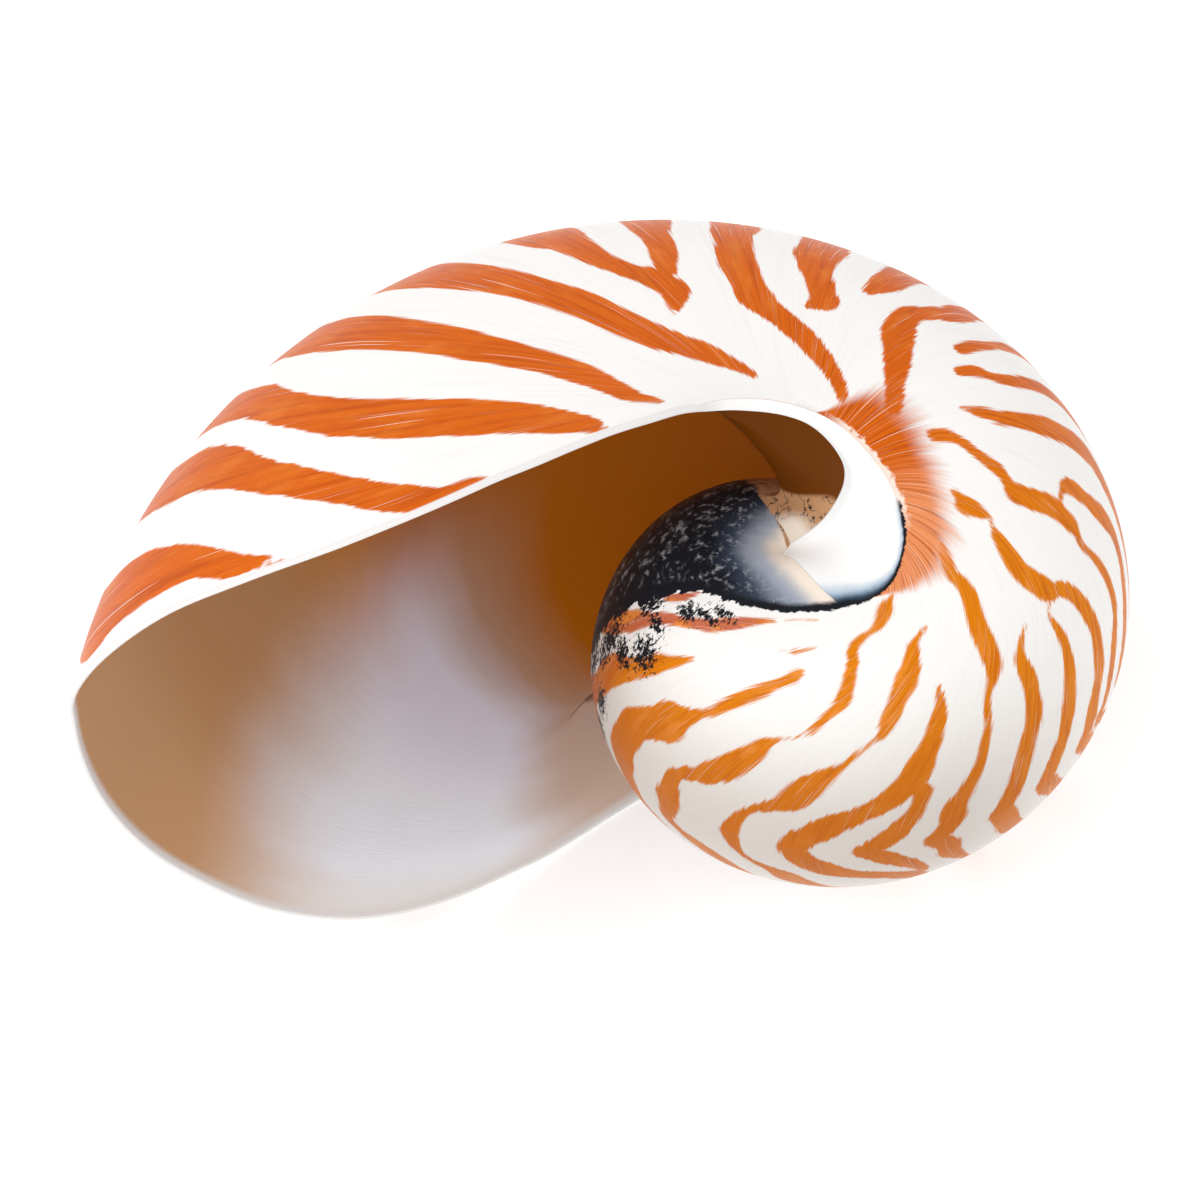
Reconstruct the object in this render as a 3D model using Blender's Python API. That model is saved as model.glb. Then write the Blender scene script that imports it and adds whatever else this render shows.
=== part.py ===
"""Nautilus shell: one closed solid, a coiled whorl with an open body chamber, in metres with +Z up.

The shell is drawn in its own coil frame, where the keel lies in the XY plane, the coil axis is Z, and
the shell grows counterclockwise. Lengths there are in keel radii. A point of the outer surface has an
angle round the coil and a flank coordinate, which is 0 at the axis and 1 on the keel. The finished
mesh is scaled and laid on its flank.
"""

import math

import bmesh
import bpy
import numpy as np
from mathutils import Matrix

# Driving sizes, in metres and degrees
KEEL_RADIUS = 0.104
WALL = 0.0015
LIP_EDGE = 0.0012
CHAMBER_DEPTH = 128.0
REST_LEAN = -5.3
REST_ROLL = -18.4
REST_TURN = 152.0

# Growth of the coil: how the keel radius and the flank breadth shrink back round it, per radian
KEEL_GROWTH = 0.2464
KEEL_GROWTH_BEND = 0.0074
BREADTH_GROWTH = 0.1587

# Section of the whorl, in keel radii
HALF_BREADTH = 0.4707
SHOULDER = 0.20
AXIS_HEIGHT = 0.842
KEEL_FULLNESS = 3.08
FLANK_FULLNESS = 1.74
SHOULDER_AT = 0.42
NORMAL_STEP = 0.01
NORMAL_TURN = 0.5
KEEL_FLAT_FROM = 0.93

# Lip as (place along it, angle in degrees, radius as a share of the keel radius), umbilicus to keel
LIP_LINE = (
    (0.00, -20.0, 0.184), (0.06, -1.4, 0.217), (0.12, 10.9, 0.272), (0.18, 18.1, 0.328),
    (0.26, 23.0, 0.404), (0.34, 25.9, 0.478), (0.44, 27.3, 0.590), (0.55, 26.2, 0.720),
    (0.66, 24.2, 0.828), (0.77, 22.6, 0.916), (0.85, 21.2, 0.965), (0.93, 19.7, 0.9925),
    (0.97, 19.0, 0.9987), (1.00, 18.7, 1.000),
)

# Dorsal edge of the opening as (place along it, angle in degrees, flank coordinate)
DORSAL_LINE = (
    (0.00, 124.0, 0.459), (0.12, 110.0, 0.457), (0.22, 97.0, 0.459), (0.34, 80.0, 0.463),
    (0.46, 60.0, 0.478), (0.58, 43.0, 0.505), (0.69, 32.0, 0.563), (0.80, 24.0, 0.670),
    (0.90, 19.0, 0.805), (1.00, 17.5, 1.000),
)

# How growth lines change from the dorsal line's shape, through a plain one, to the lip's
LIP_FADE = 5
DORSAL_FADE = 8
PLAIN_SWEEP = 1.6
PLAIN_SPREAD = 1.1

# Umbilical seam: its radius at angles from the lip back to the tip of the callus pad
SEAM_FIRST, SEAM_LAST = -20.0, -236.0
SEAM = (
    (-236.0, 0.160), (-215.0, 0.175), (-190.0, 0.166), (-160.0, 0.149), (-130.0, 0.139),
    (-100.0, 0.142), (-70.0, 0.144), (-45.0, 0.152), (-20.0, 0.169),
)

# Inner edge of the pad, from the lip round to the notch where the lip meets the earlier whorl
NOTCH_EDGE = (
    (0.00, 0.150, -0.050, 0.425), (0.16, 0.094, -0.094, 0.398), (0.30, 0.032, -0.122, 0.372),
    (0.40, -0.004, -0.124, 0.358), (0.50, -0.038, -0.108, 0.342), (0.58, -0.058, -0.088, 0.328),
    (0.66, -0.063, -0.068, 0.314), (0.76, -0.054, -0.044, 0.290), (0.86, -0.036, -0.026, 0.262),
    (0.94, -0.012, -0.020, 0.232), (1.00, 0.007, -0.022, 0.206),
)
PAD_SWELL = (
    (0.00, 0.006), (0.30, 0.009), (0.50, 0.014), (0.65, 0.022), (0.80, 0.026), (0.92, 0.018), (1.00, 0.0),
)

# Crease where the pad meets the earlier whorl, seen along the axis, from near the pad's tip to the notch
CREASE = ((0.30, -0.040, 0.088), (0.55, -0.004, 0.042), (0.80, 0.016, 0.006), (1.00, 0.007, -0.022))

# Wall near the lip, where it thins to its edge, and near the umbilicus, where it thickens
LIP_TAPER = 15.0
CORNER_THICKENING = 0.6

# Body chamber: its ring is plain from PLAIN_FROM degrees down
PLAIN_FROM = 50.0
ARRIVING_SHARE = 0.1
ROOF_CORNER = 0.435
ROOF_CORNER_LEAN = 19.0
FLOOR_CORNER = 0.503
FLOOR_CORNER_LEAN = -5.0
NOTCH_DEPTH = 8.0
CORNER_ROUND = 0.42
SEPTUM_SAG = 0.09
NOTCH_WAY = 0.6
NOTCH_DROP = 1.5

# Mesh density
GROWTH_STEPS = 36
FLANK_STEPS = 15
PAD_STEPS = 4
CHAMBER_STEPS = 12
SEPTUM_STEPS = 3
DEEP_RING_SPREAD = 0.75
JOIN_DISTANCE = 2e-6

WHITE = (0.93, 0.90, 0.86, 1.0)
ROUGHNESS = 0.35


def through(knots, at):
    """Smooth curve through the knots, each (place, value, ...), read at the given places."""
    knots = np.array(knots, float)
    place, value = knots[:, 0], knots[:, 1:]
    step = np.diff(place)
    chord = np.diff(value, axis=0) / step[:, None]
    slope = np.empty_like(value)
    slope[0], slope[-1] = chord[0], chord[-1]
    before, after = step[:-1, None], step[1:, None]
    slope[1:-1] = (after * chord[:-1] + before * chord[1:]) / (before + after)
    at = np.clip(np.atleast_1d(np.asarray(at, float)), place[0], place[-1])
    i = np.clip(np.searchsorted(place, at, side="right") - 1, 0, len(step) - 1)
    width = step[i][:, None]
    u = ((at - place[i]) / step[i])[:, None]
    return (
        value[i] * (1 + 2 * u) * (1 - u) ** 2
        + value[i + 1] * u * u * (3 - 2 * u)
        + slope[i] * width * u * (1 - u) ** 2
        - slope[i + 1] * width * u * u * (1 - u)
    )


def ease(x):
    x = np.clip(x, 0.0, 1.0)
    return x * x * (3 - 2 * x)


def keel_radius(angle):
    turn = np.radians(angle)
    return np.exp(KEEL_GROWTH * turn + KEEL_GROWTH_BEND * turn**2)


def breadth(angle):
    turn = np.radians(angle)
    return np.exp(BREADTH_GROWTH * turn + KEEL_GROWTH_BEND * turn**2)


def section(flank):
    """(radius, height) of the whorl section at a flank coordinate, for a keel radius of 1."""
    flank = np.asarray(flank, float)
    inner = np.minimum(flank / SHOULDER_AT, 1.0)
    outer = np.clip((flank - SHOULDER_AT) / (1 - SHOULDER_AT), 0.0, 1.0) * math.pi / 2
    radius = SHOULDER * inner + (1 - SHOULDER) * np.sin(outer) ** (2 / KEEL_FULLNESS)
    height = AXIS_HEIGHT + (1 - AXIS_HEIGHT) * np.sin(math.pi / 2 * inner)
    cosine = np.where(outer > math.pi / 2 - 1e-9, 0.0, np.cos(outer))
    return radius, HALF_BREADTH * height * cosine ** (2 / FLANK_FULLNESS)


def flank_at(radius):
    """Flank coordinate at a radius, for a keel radius of 1: the inverse of section."""
    radius = np.clip(radius, 0.0, 1.0)
    past = np.maximum(radius - SHOULDER, 0.0) / (1 - SHOULDER)
    outer = np.arcsin(past ** (KEEL_FULLNESS / 2)) * 2 / math.pi
    return SHOULDER_AT * np.minimum(radius / SHOULDER, 1.0) + (1 - SHOULDER_AT) * outer


def outer(angle, flank):
    """Points of the outer surface on the near flank."""
    radius, height = section(flank)
    reach = keel_radius(angle) * radius
    turn = np.radians(angle)
    return np.stack([reach * np.cos(turn), reach * np.sin(turn), breadth(angle) * height], -1)


def unit(vectors):
    return vectors / np.maximum(np.linalg.norm(vectors, axis=-1, keepdims=True), 1e-12)


def outward(angle, flank):
    """Normals of the outer surface. On the keel they lie in the coil's plane."""
    inside = np.clip(flank, 2 * NORMAL_STEP, 1 - 1.5 * NORMAL_STEP)
    along = outer(angle, inside + NORMAL_STEP) - outer(angle, inside - NORMAL_STEP)
    round_coil = outer(angle + NORMAL_TURN, inside) - outer(angle - NORMAL_TURN, inside)
    normal = unit(np.cross(along, round_coil))
    flat = ease((flank - KEEL_FLAT_FROM) / (1 - KEEL_FLAT_FROM))[..., None]
    normal[..., 2:] *= 1 - flat
    return unit(normal)


def seam(angle):
    """Flank coordinate of the umbilical seam."""
    radius = through(SEAM, angle)[:, 0] / keel_radius(angle)
    return flank_at(radius if np.ndim(angle) else radius[0])


def lip_line(place):
    """(angle, flank) along the lip."""
    angle, radius = through(LIP_LINE, place).T
    return np.stack([angle, flank_at(radius)], -1)


def growth_line(time):
    """(angle, flank) along the growth line laid down at a time, in degrees back from the lip."""
    place = np.linspace(0.0, 1.0, FLANK_STEPS + 1)
    age = -time / 360.0
    start = SEAM_FIRST + age * (SEAM_LAST - SEAM_FIRST)
    keel_lean = LIP_LINE[-1][1]
    plain = np.stack(
        [
            keel_lean + (start - time - keel_lean) * (1 - place) ** PLAIN_SWEEP,
            seam(start) + (1 - seam(start)) * place**PLAIN_SPREAD,
        ],
        -1,
    )
    lip = lip_line(place)
    dorsal = through(DORSAL_LINE, place)
    as_lip, as_dorsal = (1 - age) ** LIP_FADE, age**DORSAL_FADE
    line = as_lip * lip + as_dorsal * dorsal + (1 - as_lip - as_dorsal) * plain
    fade = (1 - place[:, None]) ** 4
    line = line + ((start - time, seam(start)) - line[0]) * fade
    return time + line[:, 0], line[:, 1]


def thickening(place):
    """How much thicker the wall is near the umbilicus than at the keel."""
    return 1 + CORNER_THICKENING * (1 - place) ** 4


def roof_line(time):
    """(angle, flank) of the chamber's roof along one ring, near corner to keel."""
    place = np.linspace(0.0, 1.0, FLANK_STEPS + 1)
    lean, flank = lip_line(place).T
    settle = min(-time / PLAIN_FROM, 1.0)
    fade = (1 - place) ** 2
    flank = flank + (ROOF_CORNER - flank[0]) * fade * settle
    lean = lean + (ROOF_CORNER_LEAN - lean[0]) * fade * settle
    return time + lean, flank


def roof(time):
    """Points of the chamber's roof: the outer surface moved in by the wall."""
    angle, flank = roof_line(time)
    place = np.linspace(0.0, 1.0, FLANK_STEPS + 1)
    wall = LIP_EDGE + (WALL - LIP_EDGE) * ease(-time / LIP_TAPER)
    wall = wall / KEEL_RADIUS * thickening(place)
    return outer(angle, flank) - outward(angle, flank) * wall[:, None]


def rim(turned):
    """Points round the lip's edge: turned is 0 on the outer face and pi on the inner face."""
    angle, flank = growth_line(0.0)
    place = np.linspace(0.0, 1.0, FLANK_STEPS + 1)
    half = LIP_EDGE / KEEL_RADIUS / 2 * thickening(place)
    edge = outer(angle, flank)
    normal = outward(angle, flank)
    forward = unit(np.cross(normal, np.gradient(edge, axis=0)))
    forward[-1, 2] = 0.0
    middle = edge - normal * half[:, None]
    return middle + half[:, None] * (normal * math.cos(turned) + unit(forward) * math.sin(turned))


def on_floor(plan):
    """(angle, flank) on the earlier whorl, from a place seen along the axis."""
    angle = np.degrees(np.arctan2(plan[:, 1], plan[:, 0])) - 360.0
    return angle, flank_at(np.hypot(*plan.T) / keel_radius(angle))


def deep_corner(time):
    """The floor's near corner deep in the chamber, seen along the axis."""
    return outer(time - 360.0 + FLOOR_CORNER_LEAN, FLOOR_CORNER)[:2]


def straight_floor(time, corner):
    """A straight line on the earlier whorl, seen along the axis, from a corner to the keel."""
    keel = outer(time - 360.0 + DORSAL_LINE[-1][1], 1.0)[:2]
    first = on_floor(corner[None])[1][0]
    radius = section(np.linspace(first, 1.0, FLANK_STEPS + 1))[0]
    share = (radius - radius[0]) / (radius[-1] - radius[0])
    return corner + (keel - corner) * share[:, None]


def crease(across):
    """Place along the crease, seen along the axis: 0 is the pad's tip and 1 the notch."""
    tip = outer(SEAM_LAST, seam(SEAM_LAST))[:2]
    return through(((0.0, *tip), *CREASE), across)[0]


def floor_rim(across):
    """Points on the earlier whorl from the dorsal edge of the opening to the notch."""
    place = np.linspace(0.0, 1.0, FLANK_STEPS + 1)[:, None]
    edge = outer(*growth_line(-360.0))[:, :2]
    notch = straight_floor(-NOTCH_DEPTH, crease(1.0))
    plan = edge + (notch - edge) * across
    plan += (crease(across) - plan[0]) * (1 - place) ** 3
    return outer(*on_floor(plan))


def floor(time):
    """Points of the chamber's floor, which is the earlier whorl, past the notch."""
    settle = min(-time / PLAIN_FROM, 1.0)
    corner = crease(1.0) * (1 - settle) + deep_corner(min(time, -PLAIN_FROM)) * settle
    return outer(*on_floor(straight_floor(time - NOTCH_DEPTH * (1 - settle), corner)))


def corner_curve(first, first_way, last, last_way, count):
    """Rounded corner between roof and floor, leaving each along its own way."""
    reach = CORNER_ROUND * np.linalg.norm(last - first)
    a, b = first + unit(first_way) * reach, last + unit(last_way) * reach
    u = np.linspace(0.0, 1.0, count)[:, None]
    return (1 - u) ** 3 * first + 3 * u * (1 - u) ** 2 * a + 3 * u * u * (1 - u) * b + u**3 * last


def deep_side(time):
    """Near side of the ring at a time, where the chamber is plain."""
    roof_points, floor_points = roof(time), floor(time)
    return corner_curve(
        roof_points[0],
        roof_points[0] - roof_points[1],
        floor_points[0],
        floor_points[0] - floor_points[1],
        GROWTH_STEPS + 1,
    )


def pinned(side, first, last):
    """The side curve with its ends moved to the ring's corners."""
    u = np.linspace(0.0, 1.0, len(side))[:, None]
    return side + (1 - u) ** 3 * (first - side[0]) + u**3 * (last - side[-1])


def pad_edges():
    """Outer edge, inner edge and swell of the callus pad."""
    place = np.linspace(0.0, 1.0, GROWTH_STEPS + 1)
    angle = SEAM_FIRST + place * (SEAM_LAST - SEAM_FIRST)
    outer_edge = outer(angle, seam(angle))
    inner_edge = through(NOTCH_EDGE, place)
    along = np.gradient(outer_edge + inner_edge, axis=0)
    swell = unit(np.cross(along, inner_edge - outer_edge))
    return outer_edge, inner_edge, swell * through(PAD_SWELL, place)


def opening_rings():
    """(roof, near side, floor) of each ring round the lip's edge and over the pad."""
    outer_edge, inner_edge, swell = pad_edges()
    for turned in np.linspace(0.0, math.pi, PAD_STEPS + 1):
        across = 0.5 - 0.5 * math.cos(turned)
        side = outer_edge + (inner_edge - outer_edge) * across + swell * math.sin(turned)
        yield rim(turned), side, floor_rim(across)


def chamber_rings():
    """(roof, near side, floor) of each ring from the notch down to the septum."""
    _, inner_edge, swell = pad_edges()
    plain, before = deep_side(-PLAIN_FROM), deep_side(-PLAIN_FROM * (1 - ARRIVING_SHARE))
    leaving = (plain - inner_edge) * NOTCH_WAY - swell * NOTCH_DROP
    arriving = (plain - before) / ARRIVING_SHARE
    place = np.linspace(0.0, 1.0, CHAMBER_STEPS + 1)[1:]
    for time in -CHAMBER_DEPTH * (place + DEEP_RING_SPREAD * (place**2 - place)):
        u = -time / PLAIN_FROM
        side = deep_side(time) if u >= 1 else (
            inner_edge * (1 + 2 * u) * (1 - u) ** 2
            + plain * u * u * (3 - 2 * u)
            + leaving * u * (1 - u) ** 2
            - arriving * u * u * (1 - u)
        )
        yield roof(time), side, floor(time)


def half_rings():
    """Near half of each ring, from the roof's keel round the pad or the corner to the floor's keel."""
    halves = []
    for roof_points, side, floor_points in (*opening_rings(), *chamber_rings()):
        side = pinned(side, roof_points[0], floor_points[0])
        halves.append(np.concatenate([roof_points[::-1], side[1:-1], floor_points]))
    return halves


def whole(half):
    """A ring from its near half: the far half is its mirror image across the keel's plane."""
    return np.concatenate([half, half[-2:0:-1] * (1, 1, -1)])


def septum(half):
    """Rings that close the chamber, each nearer its middle and bowed away from the opening."""
    ring = whole(half)
    middle = (half[0] + half[-1]) / 2
    back = unit(np.cross(middle, (0.0, 0.0, 1.0)))
    rings = []
    for inward in np.linspace(0.0, 1.0, SEPTUM_STEPS + 2)[1:-1]:
        bow = SEPTUM_SAG * (1 - (1 - inward) ** 2)
        rings.append(middle + (ring - middle) * (1 - inward) + back * bow)
    return rings, middle + back * SEPTUM_SAG


def laid_down(points):
    """The coil frame scaled to metres and leant over to where the shell rests on its far flank."""
    lean = Matrix.Rotation(math.radians(REST_LEAN), 3, "X")
    roll = Matrix.Rotation(math.radians(REST_ROLL), 3, "Y")
    turn = Matrix.Rotation(math.radians(REST_TURN), 3, "Z")
    placed = points * KEEL_RADIUS @ np.array(turn @ roll @ lean).T
    low, high = placed.min(axis=0), placed.max(axis=0)
    return placed - (*((low + high) / 2)[:2], low[2])


def add_grid(mesh, rows, closed):
    """Faces over rows of vertices, all the same length."""
    for first, second in zip(rows, rows[1:]):
        count = len(first)
        for j in range(count if closed else count - 1):
            k = (j + 1) % count
            mesh.faces.new((first[j], first[k], second[k], second[j]))


def coat():
    """Rows of the outer surface, one for each growth line, from near umbilicus to far umbilicus."""
    times = np.linspace(-360.0, 0.0, GROWTH_STEPS + 1)
    lines = [outer(*growth_line(time)) for time in times]
    return [np.concatenate([line, line[-2::-1] * (1, 1, -1)]) for line in lines]


def shell_mesh():
    """The closed surface: the whorl outside, and rings from the lip down the chamber to the septum."""
    rows = coat()
    halves = half_rings()
    closing, apex = septum(halves[-1])
    rings = [whole(half) for half in halves] + closing
    points = laid_down(np.concatenate([*rows, *rings, apex[None]]))

    mesh = bmesh.new()
    left = iter([mesh.verts.new(point) for point in points])
    add_grid(mesh, [[next(left) for _ in row] for row in rows], closed=False)
    ring_rows = [[next(left) for _ in ring] for ring in rings]
    add_grid(mesh, ring_rows, closed=True)
    last, apex = ring_rows[-1], next(left)
    for j, vertex in enumerate(last):
        mesh.faces.new((vertex, last[(j + 1) % len(last)], apex))
    bmesh.ops.remove_doubles(mesh, verts=mesh.verts, dist=JOIN_DISTANCE)
    bmesh.ops.recalc_face_normals(mesh, faces=mesh.faces)
    return mesh


def shell_material():
    material = bpy.data.materials.new("shell")
    material.use_nodes = True
    surface = material.node_tree.nodes["Principled BSDF"]
    surface.inputs["Base Color"].default_value = WHITE
    surface.inputs["Roughness"].default_value = ROUGHNESS
    surface.inputs["Metallic"].default_value = 0.0
    return material


def main():
    for old in list(bpy.data.objects):
        bpy.data.objects.remove(old, do_unlink=True)
    collection = bpy.data.collections.new("nautilus shell")
    bpy.context.scene.collection.children.link(collection)
    data = bpy.data.meshes.new("nautilus_shell")
    mesh = shell_mesh()
    mesh.to_mesh(data)
    mesh.free()
    data.materials.append(shell_material())
    data.shade_smooth()
    collection.objects.link(bpy.data.objects.new("nautilus_shell", data))


main()
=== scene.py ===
"""Nautilus shell: the fine mesh, its markings and surface, the floor, the light and the camera.

The shell is drawn in the coil frame of the CAD model, where the keel lies in the XY plane and the coil
axis is Z, with lengths in keel radii. A point of a whorl has an angle round the coil and a flank
coordinate, 0 at the axis and 1 on the keel. Markings are lines in those two coordinates. Each vertex
carries its distances from them in millimetres, and the surface's nodes turn those into colour.
"""

import math

import bmesh
import bpy
import numpy as np
from mathutils import Euler, Matrix, Vector


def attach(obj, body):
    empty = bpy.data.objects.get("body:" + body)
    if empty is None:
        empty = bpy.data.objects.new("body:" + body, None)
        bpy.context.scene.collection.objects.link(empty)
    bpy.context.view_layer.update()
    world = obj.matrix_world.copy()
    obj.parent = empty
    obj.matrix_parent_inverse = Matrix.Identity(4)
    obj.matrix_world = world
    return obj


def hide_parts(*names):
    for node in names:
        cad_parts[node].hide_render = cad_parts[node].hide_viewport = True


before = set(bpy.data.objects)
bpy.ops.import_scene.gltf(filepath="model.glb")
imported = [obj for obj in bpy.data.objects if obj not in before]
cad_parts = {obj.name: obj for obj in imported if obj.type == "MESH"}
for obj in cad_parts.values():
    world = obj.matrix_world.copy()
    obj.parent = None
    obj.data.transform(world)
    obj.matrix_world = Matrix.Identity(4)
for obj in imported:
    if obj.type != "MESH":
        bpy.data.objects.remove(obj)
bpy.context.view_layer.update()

# Driving sizes, in metres and degrees, as in the CAD model
KEEL_RADIUS = 0.104
WALL = 0.0015
LIP_EDGE = 0.0008
CHAMBER_DEPTH = 128.0
REST_LEAN = -5.3
REST_ROLL = -18.4
REST_TURN = 152.0

# Growth of the coil: how the keel radius and the flank breadth shrink back round it, per radian
KEEL_GROWTH = 0.2464
KEEL_GROWTH_BEND = 0.0074
BREADTH_GROWTH = 0.1587

# Section of the whorl, in keel radii
HALF_BREADTH = 0.4707
SHOULDER = 0.20
AXIS_HEIGHT = 0.842
KEEL_FULLNESS = 3.08
FLANK_FULLNESS = 1.74
SHOULDER_AT = 0.42
NORMAL_STEP = 0.01
NORMAL_TURN = 0.5
KEEL_FLAT_FROM = 0.93

# Lip as (place along it, angle in degrees, radius as a share of the keel radius), umbilicus to keel
LIP_LINE = (
    (0, -20, 0.184), (0.06, -1.4, 0.217), (0.12, 10.9, 0.272), (0.18, 18.1, 0.328),
    (0.26, 23, 0.404), (0.34, 25.9, 0.478), (0.44, 27.3, 0.59), (0.55, 26.2, 0.72),
    (0.66, 24.2, 0.828), (0.77, 22.6, 0.916), (0.85, 21.2, 0.965), (0.93, 19.7, 0.9925),
    (0.97, 19, 0.9987), (1, 18.7, 1),
)

# Dorsal edge of the opening as (place along it, angle in degrees, flank coordinate)
DORSAL_LINE = (
    (0, 124, 0.459), (0.12, 110, 0.457), (0.22, 97, 0.459), (0.34, 80, 0.463),
    (0.46, 60, 0.478), (0.58, 43, 0.505), (0.69, 32, 0.563), (0.8, 24, 0.67),
    (0.9, 19, 0.805), (1, 17.5, 1),
)

# How growth lines change from the dorsal line's shape, through a plain one, to the lip's
LIP_FADE = 5
DORSAL_FADE = 8
PLAIN_SWEEP = 1.6
PLAIN_SPREAD = 1.1

# Umbilical seam: its radius at angles from the lip back to the tip of the callus pad
SEAM_FIRST, SEAM_LAST = -20.0, -236.0
SEAM = (
    (-236, 0.16), (-215, 0.175), (-190, 0.166), (-160, 0.149), (-130, 0.139),
    (-100, 0.142), (-70, 0.144), (-45, 0.152), (-20, 0.169),
)

# Inner edge of the pad, from the lip round to the notch where the lip meets the earlier whorl
NOTCH_EDGE = (
    (0, 0.15, -0.05, 0.425), (0.16, 0.094, -0.094, 0.398), (0.3, 0.032, -0.122, 0.372),
    (0.4, -0.004, -0.124, 0.358), (0.5, -0.038, -0.108, 0.342), (0.58, -0.058, -0.088, 0.328),
    (0.66, -0.063, -0.068, 0.314), (0.76, -0.054, -0.044, 0.29), (0.86, -0.036, -0.026, 0.262),
    (0.94, -0.012, -0.02, 0.232), (1, 0.007, -0.022, 0.206),
)
PAD_SWELL = (
    (0, 0.006), (0.3, 0.009), (0.5, 0.014), (0.65, 0.022), (0.8, 0.026), (0.92, 0.018), (1, 0),
)

# Crease where the pad meets the earlier whorl, seen along the axis, from near the pad's tip to the notch
CREASE = ((0.3, -0.04, 0.088), (0.55, -0.004, 0.042), (0.8, 0.016, 0.006), (1, 0.007, -0.022))

# Wall near the lip, where it thins to its edge, and near the umbilicus, where it thickens
LIP_TAPER = 15.0
CORNER_THICKENING = 0.2

# Body chamber: its ring is plain from PLAIN_FROM degrees down
PLAIN_FROM = 50.0
ARRIVING_SHARE = 0.1
ROOF_CORNER = 0.435
ROOF_CORNER_LEAN = 19.0
FLOOR_CORNER = 0.503
FLOOR_CORNER_LEAN = -5.0
NOTCH_DEPTH = 8.0
CORNER_ROUND = 0.42
SEPTUM_SAG = 0.09
NOTCH_WAY = 0.6
NOTCH_DROP = 1.5

# Mesh density
GROWTH_STEPS = 240
FLANK_STEPS = 80
PAD_STEPS = 12
CHAMBER_STEPS = 48
SEPTUM_STEPS = 6
DEEP_RING_SPREAD = 0.75
PLACES = np.linspace(0.0, 1.0, FLANK_STEPS + 1)
JOIN_DISTANCE = 2e-6

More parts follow.
